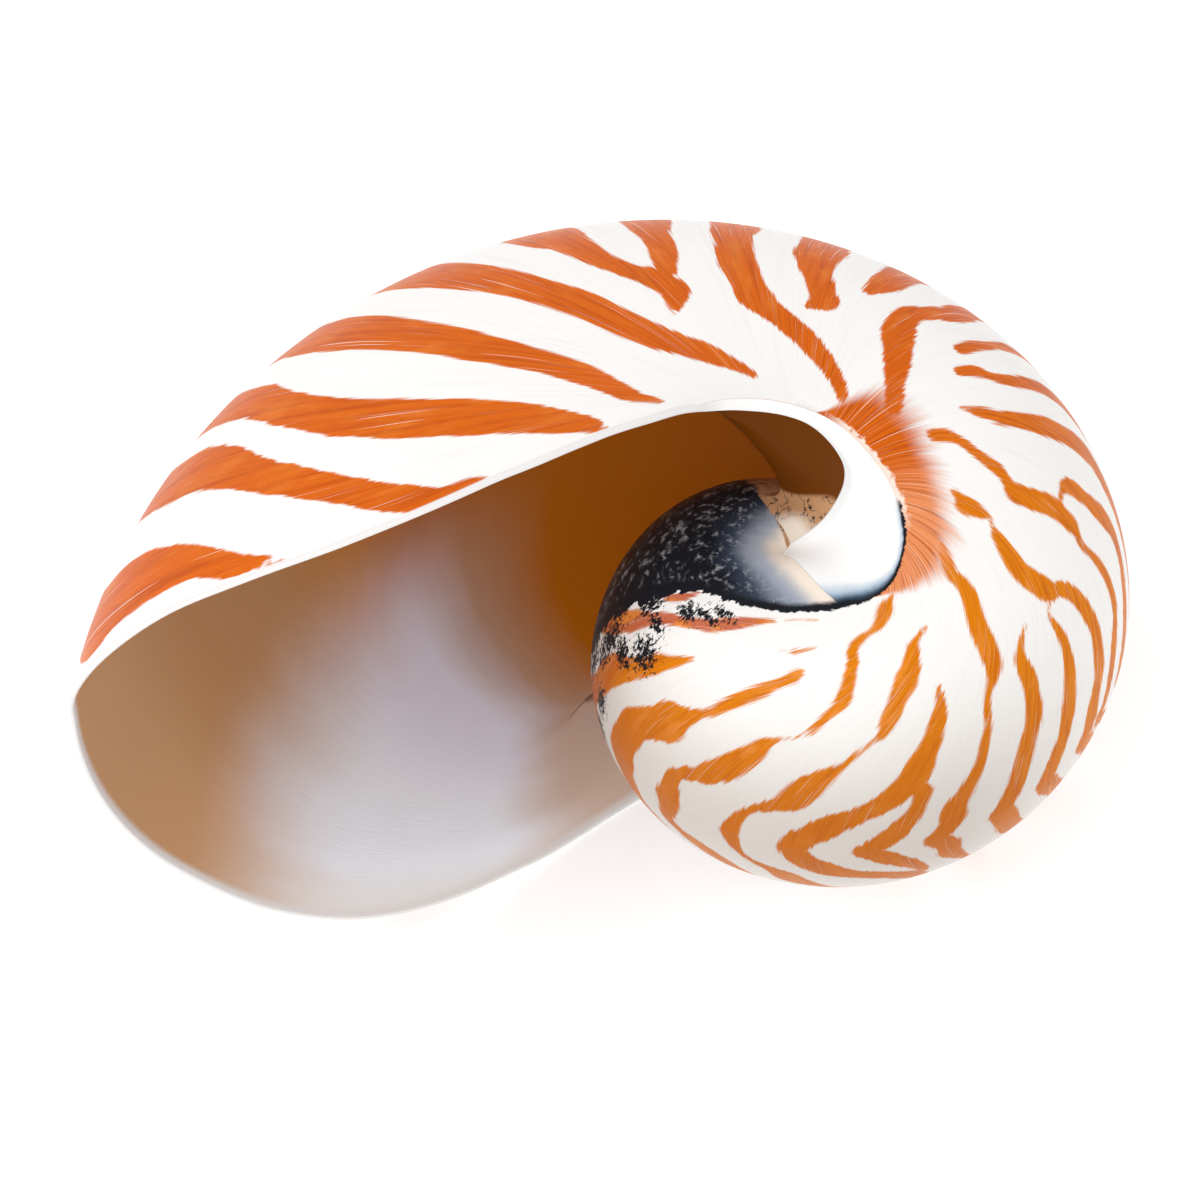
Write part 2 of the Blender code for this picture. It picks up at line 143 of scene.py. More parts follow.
# Stripes of the near flank as (angle, flank coordinate, width along the coil in degrees), keel first
STRIPES = (
    ((8, 1, 4), (12, 0.93, 6), (16.2, 0.85, 8), (16.8, 0.8, 7.6), (18, 0.74, 6.3), (20.2, 0.68, 4.2),
     (23.3, 0.64, 3.4), (26.6, 0.59, 1.2)),
    ((-3, 1, 4.5), (1.5, 0.88, 6), (4.4, 0.79, 6.2), (5.7, 0.73, 6.8), (7.8, 0.68, 6), (11.2, 0.635, 5.2),
     (14.3, 0.595, 5), (18.2, 0.553, 5), (22, 0.52, 5.6), (24.6, 0.492, 5), (23.5, 0.476, 4.5),
     (22.5, 0.468, 2)),
    ((-12, 1, 5), (-7.5, 0.86, 6), (-4.8, 0.76, 5.5), (-3, 0.7, 5.5), (-0.3, 0.655, 5.5), (2, 0.615, 6),
     (4.3, 0.57, 7.3), (5.6, 0.52, 9), (5.6, 0.48, 10), (5.5, 0.455, 10), (6.5, 0.436, 8), (7.5, 0.43, 4)),
    ((-24, 1, 5.5), (-18, 0.85, 7), (-15.6, 0.745, 6.6), (-14.8, 0.7, 7.5), (-13.8, 0.62, 7.6),
     (-13.3, 0.55, 7.5), (-13.3, 0.5, 7.7), (-13.8, 0.455, 8), (-12.5, 0.438, 7.5), (-11, 0.429, 7),
     (-13, 0.4225, 4)),
    ((-38, 1, 6), (-31, 0.82, 7.5), (-29, 0.7, 8), (-29.3, 0.63, 8), (-31, 0.56, 7.7), (-33.8, 0.505, 9),
     (-36.5, 0.468, 11), (-41, 0.449, 14), (-50, 0.435, 16), (-62, 0.425, 6)),
    ((-54, 1, 6), (-47, 0.8, 8), (-45, 0.67, 9), (-45.3, 0.62, 6.5), (-45.5, 0.57, 5.7),
     (-47.5, 0.54, 6), (-51, 0.517, 9), (-53, 0.5, 7), (-51, 0.485, 5), (-49, 0.473, 1)),
    ((-68, 1, 6), (-62, 0.8, 7), (-59, 0.67, 7), (-58, 0.63, 5.5), (-57.5, 0.59, 5), (-56, 0.555, 5),
     (-54.5, 0.53, 4)),
    ((-82, 1, 6), (-74, 0.8, 7), (-71.8, 0.675, 7.5), (-70.5, 0.63, 7), (-69.7, 0.58, 6.7),
     (-69, 0.545, 8), (-70, 0.51, 8), (-71.5, 0.49, 12), (-78, 0.472, 14), (-88, 0.453, 14),
     (-102, 0.432, 8)),
    ((-99, 1, 6), (-90, 0.84, 7), (-86, 0.72, 7.5), (-85.5, 0.65, 8), (-84.3, 0.6, 8), (-85, 0.56, 6.8),
     (-86.5, 0.53, 7), (-87, 0.515, 7), (-83.5, 0.5, 3)),
    ((-113, 1, 6), (-104, 0.84, 6), (-99.5, 0.72, 6.5), (-98.7, 0.67, 6.2), (-98, 0.62, 6),
     (-97, 0.59, 4.5), (-95.3, 0.565, 2)),
    ((-126, 1, 6), (-116, 0.84, 5), (-111.5, 0.74, 4), (-111, 0.68, 5), (-110.5, 0.635, 5),
     (-107.5, 0.595, 5), (-105.5, 0.57, 5.5), (-105.3, 0.545, 7), (-106.5, 0.52, 10), (-110, 0.495, 10),
     (-114, 0.472, 9), (-120, 0.453, 10)),
    ((-138, 1, 5), (-127, 0.85, 4), (-122, 0.76, 2.6), (-120.6, 0.7, 3), (-120, 0.65, 2.4),
     (-119, 0.61, 3), (-118.2, 0.58, 3.2)),
    ((-150, 1, 5), (-138, 0.84, 4.5), (-132.5, 0.76, 4), (-130.5, 0.7, 3.8), (-129.5, 0.64, 3.6),
     (-128, 0.6, 3), (-125, 0.575, 4), (-123.2, 0.55, 3.5)),
    ((-166, 1, 6), (-154, 0.88, 6), (-147.5, 0.81, 7), (-143.5, 0.76, 6.5), (-142, 0.7, 5.5),
     (-141, 0.65, 5.5), (-140, 0.61, 5), (-138.5, 0.57, 4.7), (-135.5, 0.54, 4), (-132, 0.515, 1)),
    ((-177, 1, 6), (-169, 0.91, 5), (-164, 0.865, 5), (-160.5, 0.835, 4.5), (-158, 0.8, 4),
     (-157, 0.76, 5), (-156, 0.71, 4), (-155, 0.67, 4.5), (-156.5, 0.65, 4), (-161, 0.64, 8)),
    ((-187, 1, 5), (-183, 0.96, 4), (-180, 0.92, 4), (-176.5, 0.88, 4.5), (-172, 0.84, 3.5),
     (-169.5, 0.8, 2.8), (-168, 0.75, 2.5), (-167.3, 0.7, 2.2), (-164.5, 0.675, 4.5), (-163, 0.65, 5),
     (-161.5, 0.62, 6), (-161, 0.58, 6), (-159.5, 0.557, 7), (-154, 0.54, 6), (-149, 0.518, 5),
     (-144, 0.502, 5), (-140, 0.49, 5), (-137.3, 0.472, 5)),
    ((-193, 1, 6), (-190, 0.96, 5.5), (-187.5, 0.91, 5), (-184, 0.87, 4.7), (-182, 0.83, 4.5),
     (-180, 0.79, 4), (-179, 0.74, 4), (-179.2, 0.69, 4), (-182, 0.66, 6), (-182.5, 0.63, 6),
     (-182, 0.6, 6), (-179, 0.57, 6), (-175, 0.545, 5), (-172.5, 0.535, 3), (-169, 0.525, 2),
     (-167.5, 0.51, 5), (-165, 0.492, 8), (-160, 0.48, 4)),
    ((-204, 1, 6), (-201.5, 0.95, 5.5), (-198, 0.9, 5.2), (-195, 0.855, 4.7), (-192.5, 0.81, 4.2),
     (-190, 0.77, 3.5), (-188, 0.725, 2.5), (-187.2, 0.685, 1.6), (-184.5, 0.671, 1.5)),
    ((-215, 1, 7), (-212.5, 0.95, 5.7), (-210, 0.9, 5.7), (-207, 0.85, 5.3), (-204, 0.81, 5),
     (-202, 0.77, 4.6), (-200.5, 0.73, 4.5), (-199.5, 0.69, 3.5), (-196, 0.665, 2.4), (-192.5, 0.653, 1)),
    ((-229.5, 1, 7), (-226, 0.95, 6), (-225, 0.91, 6), (-222, 0.87, 4.7), (-218.5, 0.83, 3.2),
     (-216, 0.79, 2.7), (-213.5, 0.75, 2), (-211.5, 0.71, 2.4), (-207, 0.677, 4.5), (-205, 0.65, 5.5),
     (-203, 0.61, 6), (-201, 0.585, 6), (-197, 0.555, 6), (-194, 0.53, 5), (-192.5, 0.51, 5),
     (-188, 0.492, 7), (-183, 0.479, 4)),
    ((-244.5, 1, 9), (-239, 0.95, 8), (-234.5, 0.9, 5.5), (-232.5, 0.87, 4), (-231, 0.84, 4)),
    ((-260, 1, 7.5), (-257, 0.95, 9), (-250.5, 0.9, 12), (-244, 0.87, 11), (-238, 0.84, 10),
     (-232.5, 0.8, 9), (-229, 0.76, 6.5), (-225.5, 0.72, 5.2), (-222.5, 0.68, 3.7), (-220.5, 0.645, 1.5)),
    ((-274, 1, 5), (-273, 0.95, 4), (-270, 0.9, 3), (-265, 0.87, 7), (-261, 0.85, 9),
     (-256.5, 0.81, 10), (-253, 0.785, 7), (-248.5, 0.755, 3), (-242.5, 0.72, 2), (-238.3, 0.7, 3.7),
     (-235, 0.67, 5.7), (-232, 0.64, 6), (-227.5, 0.61, 9), (-225, 0.595, 7), (-222, 0.57, 5),
     (-219.5, 0.555, 5), (-213.5, 0.541, 3)),
    ((-291, 1, 8), (-290.5, 0.95, 6), (-290, 0.9, 4.7), (-286.5, 0.87, 7), (-282.5, 0.85, 10),
     (-278, 0.82, 10), (-274, 0.785, 9.5), (-270.5, 0.755, 8), (-267, 0.725, 5.5), (-263.5, 0.71, 3),
     (-258, 0.695, 1.2), (-255, 0.68, 3), (-250.5, 0.65, 4), (-246.5, 0.625, 5), (-243.5, 0.59, 4.3),
     (-240.5, 0.555, 4), (-238.5, 0.528, 4.5), (-234, 0.515, 8), (-228, 0.507, 8), (-222.5, 0.495, 9),
     (-218, 0.483, 9), (-213, 0.476, 4)),
    ((-309, 1, 12), (-309, 0.95, 11), (-307.5, 0.9, 11), (-306, 0.86, 12), (-301.5, 0.82, 14),
     (-297, 0.79, 16), (-294, 0.765, 14), (-291, 0.745, 9), (-287.5, 0.72, 5), (-284, 0.7, 4.3),
     (-280, 0.67, 5.5), (-276, 0.645, 7), (-271, 0.62, 8), (-266.5, 0.6, 7), (-261, 0.58, 7),
     (-258, 0.567, 4)),
    ((-331, 1, 11), (-328.5, 0.95, 9), (-326, 0.9, 9), (-325, 0.86, 10.5), (-322.5, 0.82, 11.5),
     (-319.5, 0.79, 12), (-315.5, 0.76, 10), (-311, 0.72, 8.5), (-306.5, 0.68, 8), (-302.5, 0.655, 6),
     (-297, 0.62, 2)),
    ((-341, 0.84, 5), (-336.5, 0.79, 6.5), (-333.5, 0.755, 9.5), (-330.5, 0.72, 9.7), (-328, 0.7, 9.7),
     (-324.5, 0.665, 9), (-320, 0.63, 6.5), (-315.5, 0.6, 8), (-309, 0.575, 8.5), (-303.5, 0.555, 9),
     (-297, 0.535, 11), (-291, 0.515, 11), (-285, 0.5, 12), (-277, 0.486, 9), (-270, 0.478, 4)),
    ((-266, 0.53, 3), (-262, 0.531, 7), (-258.5, 0.527, 7), (-252, 0.52, 3)),
    ((-324, 0.58, 3), (-320, 0.55, 5), (-315.5, 0.515, 3)),
    ((-265, 0.476, 3), (-258, 0.472, 6), (-249, 0.474, 2)),
)

# Steps from one knot of a stripe to the next, and its least width in degrees
STRIPE_SMOOTH = 4
THINNEST_STRIPE = 0.3

# Waves by which the far flank's markings differ, as (reach in degrees, waves round the coil, slant over the
# flank and start in degrees), and the share of the flank over which they fade to the keel
FAR_SWAYS = ((2.2, 4.1, 200, 0), (1.6, 9.7, 0, 50))
FAR_SWAY_FADE = 0.2

# Kinds of surface
COAT, PAD, ROOF, SIDE, FLOOR = range(5)

# Millimetres in a metre, a distance in mm that no marking reaches, the shift of every growth-line noise on
# the far flank, and the points in a line that distances are measured from
MM = 1000
FAR_AWAY = 50.0
FAR_SEED = 40.0
LINE_STEPS = 120

# Dark film where the animal's hood lay: it follows the seam from here to the pad's tip, then the dorsal
# line, which it passes by up to an overlap in mm towards the keel
FILM_FROM = -163.0
FILM_OVERLAP = 1.7
FILM_OVERLAP_FROM = -305.0
FILM_OVERLAP_TURN = 30.0

# Thick spots of flakes past the film's edge, as (angle, flank, reach in degrees, reach in flank). The noise
# makes a flake where it passes FLAKE_BARE, less up to FLAKE_GAIN in the middle of a spot.
FLAKE_SPOTS = (
    (-314, 0.7, 10, 0.07), (-311, 0.555, 10, 0.035), (-323, 0.94, 6, 0.08), (-331, 0.8, 8, 0.14),
    (-327, 0.62, 9, 0.07), (-296, 0.505, 12, 0.02), (-335, 0.92, 5, 0.12), (-318, 0.63, 9, 0.03),
    (-303, 0.53, 14, 0.022), (-322, 0.76, 10, 0.05),
)
FLAKE_GAIN = 0.40
FLAKE_BARE = 0.80

# How far the orange streaks reach out of the navel, in mm, at angles round it, and the least reach used
NAVEL_REACH = (
    (-240, 0.05), (-222, 0.1), (-214, 1.2), (-206, 3.5), (-195, 6), (-180, 7), (-162, 7), (-145, 8),
    (-125, 10), (-110, 9), (-101, 3), (-93, 0.3), (-80, 0.05),
)
LEAST_REACH = 0.05

# Colours, linear
WHITE_SHELL = (0.84, 0.82, 0.80)
GREY_SHELL = (0.77, 0.735, 0.71)
# Painted shade: the ground and the stripes darkened on the keel of the older part, where the lower coil is in
# shade
PAINTED_SHADE_SHELL = (0.46, 0.41, 0.37)
PAINTED_SHADE_ORANGE = (0.36, 0.09, 0.008)
ORANGE = (0.62, 0.115, 0.003)
DEEP_ORANGE = (0.38, 0.045, 0.003)
YELLOW_ORANGE = (0.68, 0.20, 0.002)
PALE_ORANGE = (0.76, 0.26, 0.04)
SALMON = (0.52, 0.14, 0.07)
PEACH = (0.74, 0.26, 0.10)
DARK_HAIR = (0.30, 0.06, 0.012)
PALE_PINK = (0.86, 0.70, 0.60)
BLACK_FILM = (0.010, 0.011, 0.015)
SLATE = (0.055, 0.075, 0.12)
GREY_FILM = (0.33, 0.36, 0.42)
SCRATCH = (0.35, 0.36, 0.38)
NAVY = (0.02, 0.04, 0.07)
BLUE_PAD = (0.38, 0.50, 0.62)
WHITE_PAD = (0.88, 0.87, 0.86)
CREAM = (0.80, 0.70, 0.60)
RIM_WHITE = (0.74, 0.72, 0.71)
TAN_FLOOR = (0.45, 0.24, 0.12)
PEARL_LIP = (0.78, 0.75, 0.72)
PEARL = (0.80, 0.83, 0.90)
LILAC = (0.76, 0.76, 0.88)
MAUVE = (0.52, 0.33, 0.23)
SAND = (0.62, 0.46, 0.37)
TAN_LIP = (0.58, 0.33, 0.17)
TAN = (0.53, 0.28, 0.13)
OCHRE = (0.58, 0.25, 0.07)
RUST = (0.48, 0.15, 0.02)
BROWN = (0.53, 0.165, 0.006)
# Painted shade for the chamber's near side wall
SHADED = (0.12, 0.030, 0.001)

# How strongly the surface mirrors, its roughness over the fine growth lines, and their bump in metres
SATIN = 0.06
GLOSS = (0.2, 0.8, 0.28, 0.42)
BUMP_HEIGHT = 0.0002
BUMP_STRENGTH = 0.25

# Growth-line noises, as (waves per degree of growth, waves along a line, seed, detail, roughness)
FINE = (3.2, 14, 0, 3, 0.6)
STREAK = (1.1, 5, 3, 4, 0.65)
BROAD = (0.12, 4, 9, 2, 0.5)
SCRATCHED = (5, 3, 21, 2, 0.5)
NAVEL_BROAD = (0.10, 1, 31, 2, 0.5)
NAVEL_STREAK = (0.42, 1.2, 32, 4, 0.7)
NAVEL_HAIR = (1, 2, 33, 3, 0.6)
PATCHY = (0.25, 9, 41, 3, 0.6)
CLOUD = (0.07, 3, 50, 3, 0.5)
LINING_HAIR = (0.9, 3, 60, 3, 0.5)

# Noises with no direction, as (waves per metre, detail, roughness)
CRUST_GRAIN = (900, 4, 0.5)
MOTTLE = (260, 6, 0.7)
SPECK = (800, 4, 0.65)
RAGGED = (1300, 4, 0.65)
WORN_EDGE = (700, 5, 0.7)
WRINKLE = (420, 3, 0.6)
WRINKLED_PATCH = (180, 2, 0.5)
PAD_BLUR = (350, 4, 0.6)

# Scratches and flakes of the film, as (waves per degree round the coil, waves across the flank) and noise
SCRATCH_WAVES = (0.10, 70)
SCRATCH_GRAIN = (1, 4, 0.5)
FLAKE_WAVES = (0.75, 70)
FLAKE_GRAIN = (1, 5, 0.72)
LONG_FLAKE_GRAIN = (0.35, 4, 0.6)

# Smooth steps, as (low, high) or (low, high, value at low, value at high), in degrees for an angle and mm
# for a distance. CRUST_ANGLES and WRINKLE_LINE fade at both ends, and a single number is a share.
# Painted shade on the older part's keel, the underside of the lower coil: where it darkens, and how far the
# ground and the stripes go to their shaded colours
PAINTED_SHADE_ANGLE = (-230, -170, 1, 0)
PAINTED_SHADE_FLANK = (0.55, 0.95)
PAINTED_SHADE_ON_GROUND, PAINTED_SHADE_ON_STRIPES = 0.8, 0.7
GREY_LINES = (0.40, 0.72, 0, 0.7)
LINED_AREAS = (0.30, 0.70, 0.3, 1)
YOUNG_STRIPES = (-190, -110)
SALMON_REACH = (5, 12, 1, 0)
SALMON_ANGLE = (-285, -270, 1, 0)
DEEP_LINES = (0.42, 0.68, 0, 0.55)
PALE_LINES = (0.55, 0.75, 0, 0.35)
WORN_PATCHES = (0.50, 0.68)
WORN_ANGLE = (-270, -170, 0.8, 0.25)
STRIPE_EDGE = (-0.3, 0.3, 1, 0)
STRIPE_SCRATCHES = (0.66, 0.72, 1, 0.25)
NAVEL_EDGE = (0.75, 1.35, 1, 0)
NAVEL_FADE = (0.6, 1.1, 1, 0.7)
NAVEL_YOUNG = (-168, -135)
NAVEL_DEEP = (0.50, 0.60, 0, 0.6)
NAVEL_DARK = (0.56, 0.64, 0, 0.8)
NAVEL_PALE = (0.34, 0.42, 0.75, 0)
CRUST_WIDTH = (0.7, 1.3, 1, 0)
CRUST_ANGLES = (-185, -160, -112, -95)
SLATE_REACH = (6, 12, 1, 0)
SLATE_MOTTLE = (0.35, 0.65, 0.5, 1)
SPECK_CUT, SPECK_PATCH, SPECK_SHARE = (0.52, 0.66), (0.38, 0.56), 0.6
SCRATCH_CUT, SCRATCH_PATCH, SCRATCH_SHARE = (0.56, 0.66), (0.40, 0.60), 0.45
GREY_REACH = (3.6, 8.5)
CREAM_REACH = (1, 4.2)
FLAKE_CUT = (0, 0.025)
FLAKE_AREA = (0.02, 0.1)
TORN = (-305, -285, 7, 0)
FILM_EDGE = (0.25, 0.5, 1, 0)
FILM_END = (FILM_FROM - 4, FILM_FROM + 4, 1, 0)
FLOOR_BROWN = (-470, -430)
FLOOR_FILM = (-421, -415)
FLOOR_RIM = (-1.6, -0.6)
WRINKLE_LINE = (0.475, 0.495, 0.505, 0.525)
WRINKLE_PLACES = (0.42, 0.55)
PAD_FADE = (-225, -195, 5.5, 1.8)
PAD_WHITE = (0.35, 1)
PAD_BLUE = (0.15, 0.55)
PAD_BLACK = (0.5, 1)
PAD_CLEAN = (FILM_FROM - 10, FILM_FROM + 8)
PAD_LIP = (1, 7, 1, 0)
PEARL_FROM = (0.08, 0.26)
KEEL_FROM = (0.46, 0.72)
CREAM_TURNED, CREAM_DEPTH = (0.86, 0.95), (0.10, 0.22, 1, 0)
NOTCH_TURNED, NOTCH_REACH = (0.73, 0.77), (0.40, 0.55, 1, 0)
LINING_EDGE = (0.6, 2, 1, 0)
LINING_START = (-1.2, -0.2)
LIP_BAND = (0.4, 0.9, 1, 0)

# How far noise moves each edge, from its lowest to its highest: mm for distances, degrees for angles and
# times, and shares for the navel's reach and the place along a line
STRIPE_RAGGED, STRIPE_STREAKED = 1.1, 1.9
NAVEL_UNEVEN, NAVEL_RAGGED = 0.6, 0.7
CRUST_RAGGED = 2.6
SLATE_MOTTLED, GREY_MOTTLED, CREAM_MOTTLED = 9, 3, 2
FILM_RAGGED = 1.4
FLOOR_RIM_RAGGED, FLOOR_FILM_RAGGED = 0.8, 14
PAD_BLURRED = 1
CLOUDED_TIME, HAIRY_TIME, CLOUDED_PLACE = 8, 1.5, 0.10

# Colours of the lining down the chamber, as (share of its depth, colour): by the near corner, on the
# flank, on the keel, and on the near side, whose dark brown is painted shade
LOW_DEPTHS = ((0, SAND), (0.34, SAND), (0.50, MAUVE), (0.62, BROWN))
FLANK_DEPTHS = (
    (0, PEARL_LIP), (0.07, PEARL), (0.2, PEARL), (0.34, LILAC), (0.42, LILAC), (0.5, MAUVE),
    (0.6, BROWN),
)
KEEL_DEPTHS = (
    (0, TAN_LIP), (0.07, TAN_LIP), (0.17, TAN), (0.27, TAN), (0.35, OCHRE), (0.43, RUST), (0.6, BROWN),
)
SHADED_SIDE_DEPTHS = ((0, SHADED), (0.35, SHADED), (0.75, BROWN))

# Floor, light and camera, in metres, watts and degrees
FLOOR_REACH = 4.0
FLOOR_WHITE = (0.62, 0.62, 0.62)
FLOOR_LIGHT = (1.0, 1.0, 1.0)
FLOOR_ROUGHNESS = 0.6
FLOOR_GLOW = 0.50
LIT_POINT = (0.0, 0.0, 0.05)
WORLD_STRENGTH = 0.95
KEY_PLACE = (-0.50, -0.25, 1.0)
KEY_SIZE = 0.8
KEY_POWER = 4.0
FILL_PLACE = (-0.5, -0.9, 0.7)
FILL_SIZE = 0.9
FILL_POWER = 1.5
CAMERA_SENSOR = 36.0
CAMERA_NEAR = 0.01
CAMERA_PLACE = (-0.0110, -0.5097, 0.4900)
CAMERA_TURN = (46.674, 16.75, -16.623)
CAMERA_LENS = 126.72


def through(knots, at):
    """Smooth curve through the knots, each (place, value, ...), read at the given places."""
    knots = np.array(knots, float)
    place, value = knots[:, 0], knots[:, 1:]
    step = np.diff(place)
    chord = np.diff(value, axis=0) / step[:, None]
    slope = np.empty_like(value)
    slope[0], slope[-1] = chord[0], chord[-1]
    before, after = step[:-1, None], step[1:, None]
    slope[1:-1] = (after * chord[:-1] + before * chord[1:]) / (before + after)
    at = np.clip(np.atleast_1d(np.asarray(at, float)), place[0], place[-1])
    i = np.clip(np.searchsorted(place, at, side="right") - 1, 0, len(step) - 1)
    width = step[i][:, None]
    u = ((at - place[i]) / step[i])[:, None]
    return (
        value[i] * (1 + 2 * u) * (1 - u) ** 2
        + value[i + 1] * u * u * (3 - 2 * u)
        + slope[i] * width * u * (1 - u) ** 2
        - slope[i + 1] * width * u * u * (1 - u)
    )


def ease(x):
    x = np.clip(x, 0.0, 1.0)
    return x * x * (3 - 2 * x)


def keel_radius(angle):
    turn = np.radians(angle)
    return np.exp(KEEL_GROWTH * turn + KEEL_GROWTH_BEND * turn**2)


def breadth(angle):
    turn = np.radians(angle)
    return np.exp(BREADTH_GROWTH * turn + KEEL_GROWTH_BEND * turn**2)


def section(flank):
    """(radius, height) of the whorl section at a flank coordinate, for a keel radius of 1."""
    flank = np.asarray(flank, float)
    inner = np.minimum(flank / SHOULDER_AT, 1.0)
    outer = np.clip((flank - SHOULDER_AT) / (1 - SHOULDER_AT), 0.0, 1.0) * math.pi / 2
    radius = SHOULDER * inner + (1 - SHOULDER) * np.sin(outer) ** (2 / KEEL_FULLNESS)
    height = AXIS_HEIGHT + (1 - AXIS_HEIGHT) * np.sin(math.pi / 2 * inner)
    cosine = np.where(outer > math.pi / 2 - 1e-9, 0.0, np.cos(outer))
    return radius, HALF_BREADTH * height * cosine ** (2 / FLANK_FULLNESS)


def flank_at(radius):
    """Flank coordinate at a radius, for a keel radius of 1: the inverse of section."""
    radius = np.clip(radius, 0.0, 1.0)
    past = np.maximum(radius - SHOULDER, 0.0) / (1 - SHOULDER)
    outer = np.arcsin(past ** (KEEL_FULLNESS / 2)) * 2 / math.pi
    return SHOULDER_AT * np.minimum(radius / SHOULDER, 1.0) + (1 - SHOULDER_AT) * outer


def outer(angle, flank):
    """Points of the outer surface on the near flank."""
    radius, height = section(flank)
    reach = keel_radius(angle) * radius
    turn = np.radians(angle)
    return np.stack([reach * np.cos(turn), reach * np.sin(turn), breadth(angle) * height], -1)


def unit(vectors):
    return vectors / np.maximum(np.linalg.norm(vectors, axis=-1, keepdims=True), 1e-12)


def outward(angle, flank):
    """Normals of the outer surface. On the keel they lie in the coil's plane."""
    inside = np.clip(flank, 2 * NORMAL_STEP, 1 - 1.5 * NORMAL_STEP)
    along = outer(angle, inside + NORMAL_STEP) - outer(angle, inside - NORMAL_STEP)
    round_coil = outer(angle + NORMAL_TURN, inside) - outer(angle - NORMAL_TURN, inside)
    normal = unit(np.cross(along, round_coil))
    flat = ease((flank - KEEL_FLAT_FROM) / (1 - KEEL_FLAT_FROM))[..., None]
    normal[..., 2:] *= 1 - flat
    return unit(normal)


def seam(angle):
    """Flank coordinate of the umbilical seam."""
    radius = through(SEAM, angle)[:, 0] / keel_radius(angle)
    return flank_at(radius if np.ndim(angle) else radius[0])


def lip_line(place):
    """(angle, flank) along the lip."""
    angle, radius = through(LIP_LINE, place).T
    return np.stack([angle, flank_at(radius)], -1)


def growth_line(time):
    """(angle, flank) along the growth line laid down at a time, in degrees back from the lip."""
    age = -time / 360.0
    start = SEAM_FIRST + age * (SEAM_LAST - SEAM_FIRST)
    keel_lean = LIP_LINE[-1][1]
    plain_angle = keel_lean + (start - time - keel_lean) * (1 - PLACES) ** PLAIN_SWEEP
    plain_flank = seam(start) + (1 - seam(start)) * PLACES**PLAIN_SPREAD
    plain = np.stack([plain_angle, section(plain_flank)[0]], -1)
    lip = through(LIP_LINE, PLACES)
    dorsal_angle, dorsal_flank = through(DORSAL_LINE, PLACES).T
    dorsal = np.stack([dorsal_angle, section(dorsal_flank)[0]], -1)
    as_lip, as_dorsal = (1 - age) ** LIP_FADE, age**DORSAL_FADE
    line = as_lip * lip + as_dorsal * dorsal + (1 - as_lip - as_dorsal) * plain
    fade = (1 - PLACES[:, None]) ** 4
    line = line + ((start - time, section(seam(start))[0]) - line[0]) * fade
    return time + line[:, 0], flank_at(line[:, 1])


def thickening(place):
    """How much thicker the wall is near the umbilicus than at the keel."""
    return 1 + CORNER_THICKENING * (1 - place) ** 4


def roof_line(time):
    """(angle, flank) of the chamber's roof along one ring, near corner to keel."""
    lean, flank = lip_line(PLACES).T
    settle = min(-time / PLAIN_FROM, 1.0)
    fade = (1 - PLACES) ** 2
    flank = flank + (ROOF_CORNER - flank[0]) * fade * settle
    lean = lean + (ROOF_CORNER_LEAN - lean[0]) * fade * settle
    return time + lean, flank


def roof(time):
    """Points of the chamber's roof: the outer surface moved in by the wall."""
    angle, flank = roof_line(time)
    wall = LIP_EDGE + (WALL - LIP_EDGE) * ease(-time / LIP_TAPER)
    wall = wall / KEEL_RADIUS * thickening(PLACES)
    return outer(angle, flank) - outward(angle, flank) * wall[:, None]


def rim(turned):
    """Points round the lip's edge: turned is 0 on the outer face and pi on the inner face."""
    angle, flank = growth_line(0.0)
    half = LIP_EDGE / KEEL_RADIUS / 2 * thickening(PLACES)
    edge = outer(angle, flank)
    normal = outward(angle, flank)
    forward = unit(np.cross(normal, np.gradient(edge, axis=0)))
    forward[-1, 2] = 0.0
    middle = edge - normal * half[:, None]
    return middle + half[:, None] * (normal * math.cos(turned) + unit(forward) * math.sin(turned))


def on_floor(plan):
    """(angle, flank) on the earlier whorl, from a place seen along the axis."""
    angle = np.degrees(np.arctan2(plan[:, 1], plan[:, 0])) - 360.0
    return angle, flank_at(np.hypot(*plan.T) / keel_radius(angle))


def deep_corner(time):
    """The floor's near corner deep in the chamber, seen along the axis."""
    return outer(time - 360.0 + FLOOR_CORNER_LEAN, FLOOR_CORNER)[:2]


def straight_floor(time, corner):
    """A straight line on the earlier whorl, seen along the axis, from a corner to the keel."""
    keel = outer(time - 360.0 + DORSAL_LINE[-1][1], 1.0)[:2]
    first = on_floor(corner[None])[1][0]
    radius = section(np.linspace(first, 1.0, FLANK_STEPS + 1))[0]
    share = (radius - radius[0]) / (radius[-1] - radius[0])
    return corner + (keel - corner) * share[:, None]


def crease(across):
    """Place along the crease, seen along the axis: 0 is the pad's tip and 1 the notch."""
    tip = outer(SEAM_LAST, seam(SEAM_LAST))[:2]
    return through(((0.0, *tip), *CREASE), across)[0]


def floor_rim(across):
    """Points on the earlier whorl from the dorsal edge of the opening to the notch."""
    edge = outer(*growth_line(-360.0))[:, :2]
    notch = straight_floor(-NOTCH_DEPTH, crease(1.0))
    plan = edge + (notch - edge) * across
    plan += (crease(across) - plan[0]) * (1 - PLACES[:, None]) ** 3
    return outer(*on_floor(plan))


def floor(time):
    """Points of the chamber's floor, which is the earlier whorl, past the notch."""
    settle = min(-time / PLAIN_FROM, 1.0)
    corner = crease(1.0) * (1 - settle) + deep_corner(min(time, -PLAIN_FROM)) * settle
    return outer(*on_floor(straight_floor(time - NOTCH_DEPTH * (1 - settle), corner)))


def corner_curve(first, first_way, last, last_way, count):
    """Rounded corner between roof and floor, leaving each along its own way."""
    reach = CORNER_ROUND * np.linalg.norm(last - first)
    a, b = first + unit(first_way) * reach, last + unit(last_way) * reach
    u = np.linspace(0.0, 1.0, count)[:, None]
    return (1 - u) ** 3 * first + 3 * u * (1 - u) ** 2 * a + 3 * u * u * (1 - u) * b + u**3 * last


